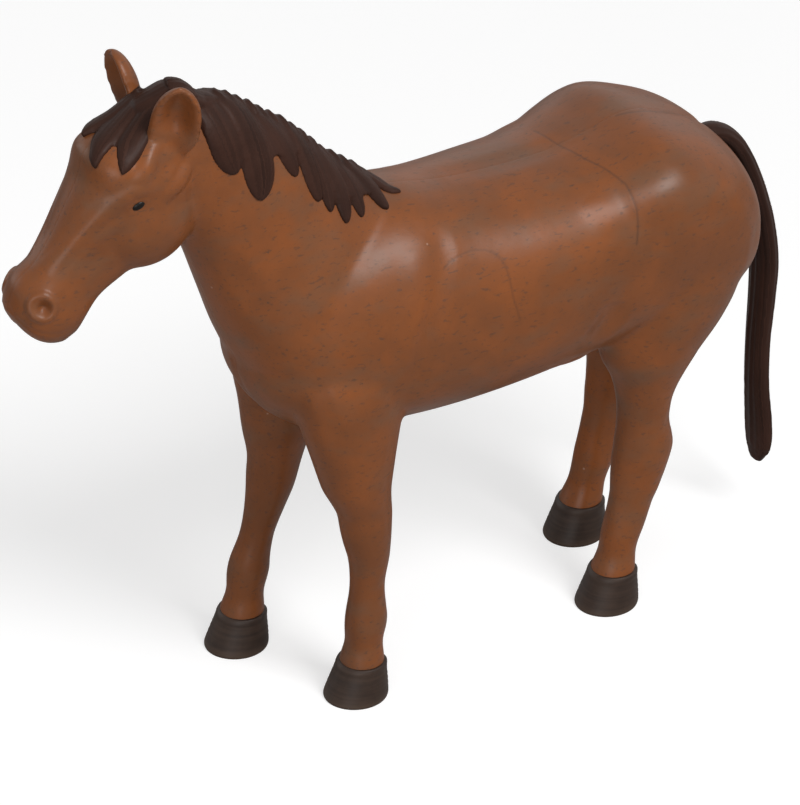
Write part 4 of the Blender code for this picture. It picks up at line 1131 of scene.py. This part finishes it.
# %% The bed of the mane, cut from the swollen skin
BED_THICKNESS, BROW_THICKNESS, BED_OVERLAP = 0.80 * MM, 0.60 * MM, 0.3 * MM
MANE_BED = (
    (-0.45, 0.75), (-0.16, 0.30), (-0.08, 0.26), (-0.06, 0.17), (0.00, 0.13), (0.10, 0.15), (0.20, 0.24),
    (0.30, 0.34), (0.37, 0.40), (0.46, 0.33), (0.56, 0.33), (0.66, 0.37), (0.74, 0.44), (0.78, 0.66),
    (0.70, 0.75),
)
FAR_BED = (
    (-0.45, 0.75), (-0.45, 0.36), (-0.20, 0.34), (0.10, 0.30), (0.35, 0.32), (0.60, 0.38), (0.76, 0.46),
    (0.78, 0.66), (0.70, 0.75),
)
BROW_BED = (
    (1.12, 0.26), (0.90, 0.34), (0.84, 0.32), (0.80, 0.22), (0.79, 0.06), (0.80, -0.10), (0.82, -0.25),
    (1.12, -0.19),
)


def swollen(thing, name, distance):
    """A copy of a skin moved out along its own normals."""
    grown = copy_of(thing, name)
    push_out(grown, distance)
    return grown


def over_neck(along, up, y):
    """A point over the neck from two shares and a distance from the middle."""
    return NECK_PLACE(along * NECK_LENGTH, y, up * NECK_DEPTH)


def over_brow(along, sideways, depth):
    """A point over the brow from two shares and a depth in front of it."""
    return HEAD_PLACE(along * HEAD_LENGTH, sideways * HEAD_WIDTH, depth)


beds = []
for name, swell, outline, place, low, high in (
    ("near bed", BED_THICKNESS, MANE_BED, over_neck, -REACH, 0.0),
    ("far bed", BED_THICKNESS, FAR_BED, over_neck, -BED_OVERLAP, REACH),
    ("brow bed", BROW_THICKNESS, BROW_BED, over_brow, -HEAD_DEPTH / 4, REACH),
):
    space = prism("outline", outline, place, low, high)
    beds.append(combined(swollen(bare_skin, name, swell), space, "INTERSECT"))
print("hair beds:", ", ".join(f"{bed.name} {len(bed.data.polygons)}" for bed in beds))

# %% [markdown]
# Each lock is a leaf that starts behind the crest, lies down on the neck and ends in a tip,
# blunt in the mane and sharper in the forelock. Three landmarks, its width and its height
# describe it. The leaves overlap like tiles, and a few low strands run down each of them, so
# the light breaks along the hair. Short ribs lie across the crest, where the hair parts.

# %% Locks, as leaves laid on the skin
bare_tree = tree_of(bare_skin)
LOCK_STEPS, LOCK_SPAN = 26, 12
MANE_SHARPNESS, BROW_SHARPNESS = 0.55, 0.86
LEAF_SINK, STRAND_SINK = 0.30 * MM, 0.20 * MM
# A lock's width at its root, the shares of the way where it is full and where its tip starts,
# and how round the tip is; then how much it thins, and the two powers of its domed section.
ROOT_WIDTH, FULL_FROM, TIP_FROM, TIP_END, TIP_POWER = 0.66, 0.60, 0.62, 1.03, 1.7
THINNING, DOME_FLATNESS, DOME_POWER = 0.45, 2.6, 0.55
MANE_STRAND, BROW_STRAND, TAIL_STRAND = 0.50 * MM, 0.42 * MM, 0.60 * MM

# Columns: root, middle and tip in millimetres, half width, height, how many strands.
NEAR_LOCKS = (
    ((-32.0, 1.6, 153.4), (-28.4, -6.8, 142.8), (-26.0, -9.2, 134.1), 3.7, 1.00, 6),
    ((-26.0, 1.6, 149.6), (-20.6, -6.8, 137.1), (-20.9, -10.2, 126.8), 4.4, 1.20, 7),
    ((-20.0, 1.6, 145.6), (-13.0, -4.7, 135.7), (-10.8, -7.6, 127.9), 2.6, 1.00, 4),
    ((-15.6, 1.6, 142.4), (-11.0, -2.2, 137.5), (-8.6, -4.3, 132.4), 2.3, 0.90, 4),
    ((-11.6, 1.6, 139.3), (-7.1, -5.0, 129.2), (-5.8, -8.7, 121.0), 2.4, 1.15, 4),
    ((-8.2, 1.6, 136.3), (-3.7, -5.5, 125.6), (-3.3, -9.2, 118.0), 2.1, 0.95, 3),
    ((-4.8, 1.6, 133.0), (-0.1, -5.8, 122.2), (0.0, -10.0, 114.7), 2.2, 1.15, 4),
    ((-1.2, 1.6, 129.8), (3.6, -5.0, 120.8), (4.5, -9.0, 114.2), 2.0, 0.95, 3),
    ((2.4, 1.5, 126.8), (8.4, -3.2, 119.1), (11.9, -7.5, 113.1), 2.1, 1.10, 4),
    ((5.8, 1.2, 124.0), (11.3, -1.1, 118.3), (17.2, -4.0, 113.9), 1.9, 0.95, 3),
)
FAR_LOCKS = (
    ((-32.0, -0.6, 153.4), (-30.6, 6.4, 146.5), (-30.0, 9.0, 138.6), 2.8, 1.00, 4),
    ((-27.0, -0.6, 150.4), (-25.0, 6.6, 142.0), (-25.4, 9.8, 133.6), 2.8, 1.15, 4),
    ((-22.0, -0.6, 147.2), (-19.4, 6.4, 138.0), (-19.4, 10.0, 129.6), 2.6, 0.95, 4),
    ((-17.0, -0.6, 143.4), (-14.0, 6.2, 134.0), (-13.6, 9.8, 126.0), 2.6, 1.15, 4),
    ((-12.0, -0.6, 139.4), (-8.8, 6.2, 130.0), (-8.4, 9.8, 122.4), 2.4, 0.95, 4),
    ((-7.0, -0.6, 135.2), (-3.6, 6.0, 125.8), (-3.0, 9.6, 118.8), 2.2, 1.15, 3),
    ((-2.4, -0.6, 131.0), (1.6, 5.6, 122.0), (2.8, 9.2, 115.8), 2.0, 0.95, 3),
    ((2.2, -0.5, 127.0), (6.6, 4.6, 119.4), (9.0, 7.8, 114.2), 1.8, 1.05, 3),
    ((6.6, -0.3, 123.4), (11.2, 2.6, 117.4), (14.6, 5.0, 113.6), 1.5, 0.95, 3),
)
BROW_LOCKS = (
    ((-39.5, 2.0, 152.0), (-48.9, 0.2, 146.7), (-55.8, -4.6, 142.0), 2.9, 1.10, 5),
    ((-38.6, -2.4, 152.8), (-46.3, -4.6, 147.0), (-52.2, -8.5, 141.4), 3.0, 0.95, 5),
    ((-41.0, 4.0, 151.0), (-48.2, 4.4, 146.4), (-54.2, 3.2, 144.8), 2.4, 1.70, 4),
    ((-39.6, 4.6, 150.6), (-44.2, 5.8, 148.0), (-49.0, 6.4, 145.4), 2.4, 1.60, 4),
    ((-44.0, 1.0, 150.6), (-38.6, -0.6, 153.6), (-31.5, -0.6, 153.4), 3.2, 1.50, 5),
    ((-37.0, -0.5, 153.9), (-31.6, -1.6, 153.6), (-25.5, -2.6, 149.4), 3.4, 2.30, 5),
)


def along_lock(root, middle, tip, half_width, sharpness):
    """Rows along a lock: share of the way, place on the skin, sideways and half width."""
    root, middle, tip = spot(*root), spot(*middle), spot(*tip)
    shares = [step / (LOCK_STEPS - 1) for step in range(LOCK_STEPS)]
    places = []
    for t in shares:
        place = root * ((1 - t) * (1 - 2 * t)) + middle * (4 * t * (1 - t)) + tip * (t * (2 * t - 1))
        places.append(bare_tree.find_nearest(place)[:2])
    rows = []
    for step, t in enumerate(shares):
        ahead, behind = places[min(step + 1, LOCK_STEPS - 1)][0], places[max(step - 1, 0)][0]
        sideways = (ahead - behind).cross(places[step][1]).normalized()
        swell = ROOT_WIDTH + (1 - ROOT_WIDTH) * math.sin(math.pi / 2 * min(t / FULL_FROM, 1))
        taper = (TIP_END - max((t - TIP_FROM) / (1 - TIP_FROM), 0) ** TIP_POWER) ** sharpness
        rows.append((t, places[step][0], sideways, half_width * MM * swell * taper))
    return rows


def lifted(place, height):
    """The place on the skin, raised by a height."""
    point, normal = bare_tree.find_nearest(place)[:2]
    return point + normal * height


def leaf_height(t, u, height):
    """How thick a lock is at a share of its way and of its half width."""
    return height * MM * (1 - THINNING * t**3) * (1 - abs(u) ** DOME_FLATNESS) ** DOME_POWER


def lock_form(rows, height):
    """A leaf with a domed top, its underside just inside the skin."""
    across = [2 * k / LOCK_SPAN - 1 for k in range(LOCK_SPAN + 1)]
    rings = []
    for t, place, sideways, half in rows:
        top = [lifted(place + sideways * (half * u), leaf_height(t, u, height)) for u in across]
        under = [lifted(place + sideways * (half * u), -LEAF_SINK) for u in reversed(across)]
        rings.append(top + under)
    return closed_loft("lock", rings)


def lock_strands(rows, height, count):
    """The low strands that run down a lock and meet at its tip."""
    paths = []
    for k in range(count):
        u = (2 * (k + 0.5) / count - 1) * 0.86
        path = []
        for t, place, sideways, half in rows[:-1]:
            lean = u * (1 - 0.25 * t)
            raised = lifted(place + sideways * (half * lean), leaf_height(t, lean, height) - STRAND_SINK)
            path.append((raised, 1.0 - THINNING * t**2))
        paths.append(path)
    return paths


locks, mane_paths, brow_paths = [], [], []
for table, paths, sharpness in (
    (NEAR_LOCKS, mane_paths, MANE_SHARPNESS),
    (FAR_LOCKS, mane_paths, MANE_SHARPNESS),
    (BROW_LOCKS, brow_paths, BROW_SHARPNESS),
):
    for root, middle, tip, half_width, height, count in table:
        rows = along_lock(root, middle, tip, half_width, sharpness)
        locks.append(lock_form(rows, height))
        paths += lock_strands(rows, height, count)
print(f"{len(locks)} locks")

# %% Ribs across the crest
CREST = (
    (-33.0, 153.9), (-26.0, 149.9), (-20.0, 145.8), (-11.6, 139.4), (-4.8, 133.2), (2.4, 126.9),
    (8.0, 122.4),
)
CREST_RIBS, RIB_STEPS, RIB_STEP, RIB_START, RIB_SPAN = 17, 6, 0.62, -33.0, 41.0
RIB_HEIGHT, RIB_WAVE, RIB_FALL, RIB_SWEEP, RIB_DROP, RIB_SHARE = 1.20, 0.12, 0.024, 0.45, 0.30, 1.25


def rib_path(rib):
    """A short strand that lies across the crest of the neck, swept back at both ends."""
    at = RIB_START + RIB_SPAN * rib / (CREST_RIBS - 1)
    top = float(np.interp(at, *zip(*CREST)))
    path = []
    for step in range(-RIB_STEPS, RIB_STEPS + 1):
        y = step * RIB_STEP
        height = RIB_HEIGHT + RIB_WAVE * math.sin(2.3 * rib) - RIB_FALL * step**2
        place = spot(at + RIB_SWEEP * abs(y), y, top - RIB_DROP * abs(y))
        path.append((lifted(place, height * MM), RIB_SHARE))
    return path


mane_paths += [rib_path(rib) for rib in range(CREST_RIBS)]
mane_strands = strands("mane strands", mane_paths, MANE_STRAND)
brow_strands = strands("brow strands", brow_paths, BROW_STRAND)
print(f"{len(mane_paths)} strands in the mane and {len(brow_paths)} in the forelock")

# %% Fuse the beds and the strands into one mane
HAIR_GRAIN, SEAT_DEPTH = 0.34 * MM, 0.12 * MM


def across_hair(thing, paths):
    """Store which strand is nearest to each point, for streaks in the finish."""
    tree = KDTree(sum(len(path) for path in paths))
    for number, path in enumerate(paths):
        for place, share in path:
            tree.insert(place, number)
    tree.balance()
    store(thing, "across_hair", [tree.find(point)[1] for point in places_of(thing)[0]])


mane = fused(joined("mane_and_forelock", beds + locks + [mane_strands, brow_strands]), HAIR_GRAIN, rounds=4)
mane = combined(mane, swollen(bare_skin, "seat", -SEAT_DEPTH), "DIFFERENCE")
drop(bare_skin)
across_hair(mane, mane_paths + brow_paths)
print(f"mane: {len(mane.data.polygons)} faces")

# %% [markdown]
# ## Tail
# The tail hangs from a plug in the rump. It is a flat paddle of hair that widens towards
# its blunt tip. The paddle follows one path, and the same tree sweeps strands down it.

# %% Tail
# Columns: along the drop, reach out behind, half width, half thickness.
TAIL_ROWS = (
    (0.029, -0.238, 0.60, 0.80),
    (0.014, -0.032, 0.66, 0.92),
    (0.026, 0.174, 0.70, 0.95),
    (0.063, 0.368, 0.74, 0.98),
    (0.120, 0.539, 0.80, 1.00),
    (0.205, 0.715, 0.86, 1.00),
    (0.308, 0.868, 0.93, 1.00),
    (0.421, 0.957, 0.96, 0.98),
    (0.535, 0.957, 0.88, 0.92),
    (0.660, 0.933, 0.82, 0.88),
    (0.785, 0.951, 0.86, 0.90),
    (0.899, 1.009, 0.97, 0.96),
    (0.972, 1.033, 0.88, 0.88),
    (1.019, 1.004, 0.45, 0.50),
)
TAIL_STRANDS, TAIL_SIDES = 18, 40
CORE_INSET, STRAND_INSET, ROOT_GAP = 0.35 * MM, 0.62 * MM, 0.02 * MM
# How far the strands weave, where they end, and how far some of them end before the others.
WEAVE, STRAND_END, STAGGER = 0.5, 0.995, 0.03
tail_root = TRUNK_PLACE(0.955 * TRUNK_LENGTH, 0, 0.775 * TRUNK_DEPTH)


def tail_point(row, outward, angle, inset):
    """A point of the tail's oval section, drawn in by an inset."""
    number, x, z, wide, thick = row
    sideways = math.cos(angle) * (wide * TAIL_WIDTH / 2 - inset)
    return Vector((x, sideways, z)) + outward * (math.sin(angle) * (thick * TAIL_THICKNESS / 2 - inset))


course = smooth_rows([
    (number, tail_root.x + reach * TAIL_REACH, tail_root.z - drop_share * TAIL_DROP, wide, thick)
    for number, (drop_share, reach, wide, thick) in enumerate(TAIL_ROWS)
], 5)
last = len(course) - 1
tail_rings, tail_paths = [], [[] for k in range(TAIL_STRANDS)]
for index, row in enumerate(course):
    ahead, behind = course[min(index + 1, last)], course[max(index - 1, 0)]
    downward = Vector((ahead[1] - behind[1], 0, ahead[2] - behind[2])).normalized()
    outward = downward.cross(Vector((0, 1, 0)))
    t = index / last
    tail_rings.append([tail_point(row, outward, angle, CORE_INSET) for angle in turns(TAIL_SIDES)])
    for k, path in enumerate(tail_paths):
        angle = 2 * math.pi * (k + 0.5) / TAIL_STRANDS + WEAVE * math.sin(2.4 * t + 0.7 * k)
        if t < STRAND_END - STAGGER * (k % 3):
            path.append((tail_point(row, outward, angle, STRAND_INSET), 0.75 + 0.25 * math.sin(math.pi * t)))
tail_strands = strands("tail strands", tail_paths, TAIL_STRAND)
tail_core = closed_loft("tail core", tail_rings)
tail = fused(joined("tail_of_hair", [tail_core, tail_strands]), HAIR_GRAIN, rounds=3)
across_hair(tail, tail_paths)
tail = combined(tail, swollen(skin, "rump skin", ROOT_GAP), "DIFFERENCE")
drop(skin)
print(f"tail: {len(tail.data.polygons)} faces")

# %% [markdown]
# ## Hooves
# The hooves are separate pieces in dark plastic, flared to the ground. The rim at the
# coronet, the growth rings and the slightly dished sole are modelled. The edge that meets
# the ground is rounded, as a mould would leave it.

# %% Hooves
# Columns: height share, how far the section has flared from the leg's to the ground's, and lean.
HOOF_ROWS = (
    (0.000, 0.94, 0.100), (0.025, 0.985, 0.100), (0.060, 1.00, 0.097), (0.120, 0.96, 0.090),
    (0.450, 0.62, 0.055), (0.800, 0.25, 0.020), (0.900, 0.20, 0.010), (0.965, 0.10, 0.000),
    (1.000, -0.04, 0.000),
)
# Columns: height share and flare of the dished sole's rings.
SOLE_ROWS = ((0.05, 0.55), (0.035, 0.80))
GROWTH_RINGS, RING_RELIEF, RING_MIDDLE, RING_REACH = 7, 0.05 * MM, 0.45, 0.4
HEEL_CLEFT, CLEFT_REACH, RUBBED_HEIGHT, RUBBED_FULL = 0.10, 0.30, 1.6 * MM, 1.2


def hoof_form(leg, sides=72):
    """A hoof with growth rings, a cleft heel and a dished sole."""
    name, hip_x, side, stance, rows, swing = leg
    top_x = hip_x + sway(HOOF_HEIGHT / BELLY_HEIGHT, swing)
    half_length, half_width = rows[0][1] * CANNON_THICKNESS, rows[0][3] * CANNON_THICKNESS
    out = side * stance * rows[0][4]

    def ring_at(height, flare, lean, share=1.0, ripple=0.0):
        """One ring, drawn in by a share and pushed out by a ripple."""
        length = (half_length + (HOOF_LENGTH / 2 - half_length) * flare) * share + ripple
        width = (half_width + (HOOF_WIDTH / 2 - half_width) * flare) * share + ripple
        ring = []
        for angle in turns(sides):
            cleft = 1 - HEEL_CLEFT * math.exp(-((math.remainder(angle, 2 * math.pi) / CLEFT_REACH) ** 2))
            x = top_x - lean * HOOF_LENGTH + length * math.cos(angle) * cleft
            ring.append(Vector((x, out + width * math.sin(angle), height * HOOF_HEIGHT)))
        return ring

    rings = [ring_at(height, flare, HOOF_LEAN, flare) for height, flare in SOLE_ROWS]
    for height, flare, lean in smooth_rows(HOOF_ROWS, 5):
        wave = math.sin(2 * math.pi * GROWTH_RINGS * height)
        ripple = RING_RELIEF * wave * bell(abs(height - RING_MIDDLE) / RING_REACH)
        rings.append(ring_at(height, flare, lean, 1.0, ripple))
    hoof = closed_loft("hoof_" + name + "_horn", rings)
    points, normals = places_of(hoof)
    upright_skin = np.hypot(normals[:, 0], normals[:, 1]) > 0.2
    store(hoof, "rubbed", np.clip(RUBBED_FULL - points[:, 2] / RUBBED_HEIGHT, 0, 1) * upright_skin)
    return hoof


hooves = [hoof_form(leg) for leg in LEGS]
print(f"hooves: {HOOF_LENGTH / MM:.1f} by {HOOF_WIDTH / MM:.1f} mm at the ground")

# %% [markdown]
# ## Dress, carry and show
# Each piece gets its finish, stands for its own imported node, and rides on the body. The
# camera stands where the toy looks as it does in a catalogue picture: a long lens from the
# front left, well above it. The studio is a pale floor, one big soft lamp high in front of the
# left side, weak ones from the front and the far side, and an even sky.

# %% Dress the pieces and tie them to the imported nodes
SHARP_ANGLE = math.radians(50)
PIECES = (
    (left_side, BROWN, "brown_plastic", "left_body_shell"),
    (right_side, BROWN, "brown_plastic", "right_body_shell"),
    (belly_piece, BROWN, "brown_plastic", "belly_shell"),
    (mane, HAIR, "dark_brown_plastic", "mane"),
    (tail, HAIR, "dark_brown_plastic", "tail"),
    (eyes[0], EYE_BLACK, "black_plastic", "left_eye"),
    (eyes[1], EYE_BLACK, "black_plastic", "right_eye"),
    (hooves[0], HORN, "hoof_plastic", "hoof_fore_left"),
    (hooves[1], HORN, "hoof_plastic", "hoof_fore_right"),
    (hooves[2], HORN, "hoof_plastic", "hoof_hind_left"),
    (hooves[3], HORN, "hoof_plastic", "hoof_hind_right"),
)
for piece, finish, slot, node in PIECES:
    piece.data.materials.clear()
    piece.data.materials.append(finish)
    piece.data.shade_smooth()
    piece.data.set_sharp_from_angle(angle=SHARP_ANGLE)
    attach(piece, "root")
    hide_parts(node)
print("pieces:", ", ".join(piece.name for piece, finish, slot, node in PIECES))

# %% Camera
AZIMUTH, ELEVATION, ROLL = math.radians(-33.0), math.radians(32.0), math.radians(1.2)
DISTANCE, PIXELS_WIDE, PIXELS_HIGH, FOCAL_PIXELS, SENSOR = 1.5, 800, 805, 7200.0, 36.0
SEEN_HEIGHT, SEEN_PIXEL_X, SEEN_PIXEL_Y = 20.6, 314.0, 581.3
aim = spot(15, 0, 85)
back = Vector((
    math.sin(AZIMUTH) * math.cos(ELEVATION),
    -math.cos(AZIMUTH) * math.cos(ELEVATION),
    math.sin(ELEVATION),
))
level = Vector((math.cos(AZIMUTH), math.sin(AZIMUTH), 0))
upright = back.cross(level)
right = level * math.cos(ROLL) + upright * math.sin(ROLL)
up = upright * math.cos(ROLL) - level * math.sin(ROLL)
camera_data = bpy.data.cameras.new("camera")
camera_data.sensor_width = SENSOR
camera_data.lens = FOCAL_PIXELS * SENSOR / PIXELS_HIGH
camera_data.clip_start, camera_data.clip_end = 0.05, 20
# The shift puts a point over the ground between the fore hooves on its own pixel.
seen = spot(0, 0, SEEN_HEIGHT) - aim
depth = DISTANCE - seen.dot(back)
middle_x = SEEN_PIXEL_X - FOCAL_PIXELS * seen.dot(right) / depth
middle_y = SEEN_PIXEL_Y + FOCAL_PIXELS * seen.dot(up) / depth
camera_data.shift_x = (PIXELS_WIDE / 2 - middle_x) / PIXELS_HIGH
camera_data.shift_y = (middle_y - PIXELS_HIGH / 2) / PIXELS_HIGH
camera = bpy.data.objects.new("camera", camera_data)
turned = Matrix((right, up, back)).transposed().to_4x4()
camera.matrix_world = Matrix.Translation(aim + back * DISTANCE) @ turned
bpy.context.collection.objects.link(camera)
bpy.context.scene.camera = camera
print(f"lens {camera_data.lens:.0f} mm, shift {camera_data.shift_x:.3f}, {camera_data.shift_y:.3f}")


# %% Floor, sky and lamps
SKY, FLOOR_SIZE, FLOOR_GREY, FLOOR_GLOW = 0.24, 6, 0.50, 0.63
# Columns: name, place from the aim, size in metres, watts.
LAMPS = (
    ("key lamp", (0.22, -0.79, 0.96), 0.50, 11.5),
    ("front lamp", (-0.80, -0.85, 0.25), 0.60, 4.0),
    ("far lamp", (-0.70, 1.00, 0.35), 0.60, 1.4),
)


def lamp(name, offset, size, power):
    """A square soft lamp that faces the toy."""
    data = bpy.data.lights.new(name, "AREA")
    data.size, data.energy = size, power
    thing = bpy.data.objects.new(name, data)
    offset = Vector(offset)
    facing = offset.to_track_quat("Z", "Y").to_matrix().to_4x4()
    thing.matrix_world = Matrix.Translation(aim + offset) @ facing
    bpy.context.collection.objects.link(thing)


shape = bmesh.new()
bmesh.ops.create_grid(shape, x_segments=1, y_segments=1, size=FLOOR_SIZE)
floor = object_from("floor", shape)
paper = Finish("pale_paper")
paper.wear("Base Color", (FLOOR_GREY, FLOOR_GREY, FLOOR_GREY, 1))
paper.wear("Roughness", 0.9)
paper.wear("Specular IOR Level", 0.0)
paper.wear("Emission Color", paper.node("ShaderNodeLightPath"))
paper.wear("Emission Strength", FLOOR_GLOW)
floor.data.materials.append(paper.material)

world = bpy.data.worlds.new("sky")
sky = Finish("sky", world, "Background")
seen_directly, seen_mirrored, seen_through = (
    sky.node("ShaderNodeLightPath", output=f"Is {ray} Ray") for ray in ("Camera", "Glossy", "Transmission")
)
bpy.context.scene.world = world
sky.wear("Color", (1, 1, 1, 1))
sky.wear("Strength", SKY + (1 - SKY) * (seen_directly + seen_mirrored + seen_through))
for row in LAMPS:
    lamp(*row)
bpy.context.scene.view_settings.view_transform = "Standard"
print("lamps:", ", ".join(f"{name} {power} W" for name, offset, size, power in LAMPS))
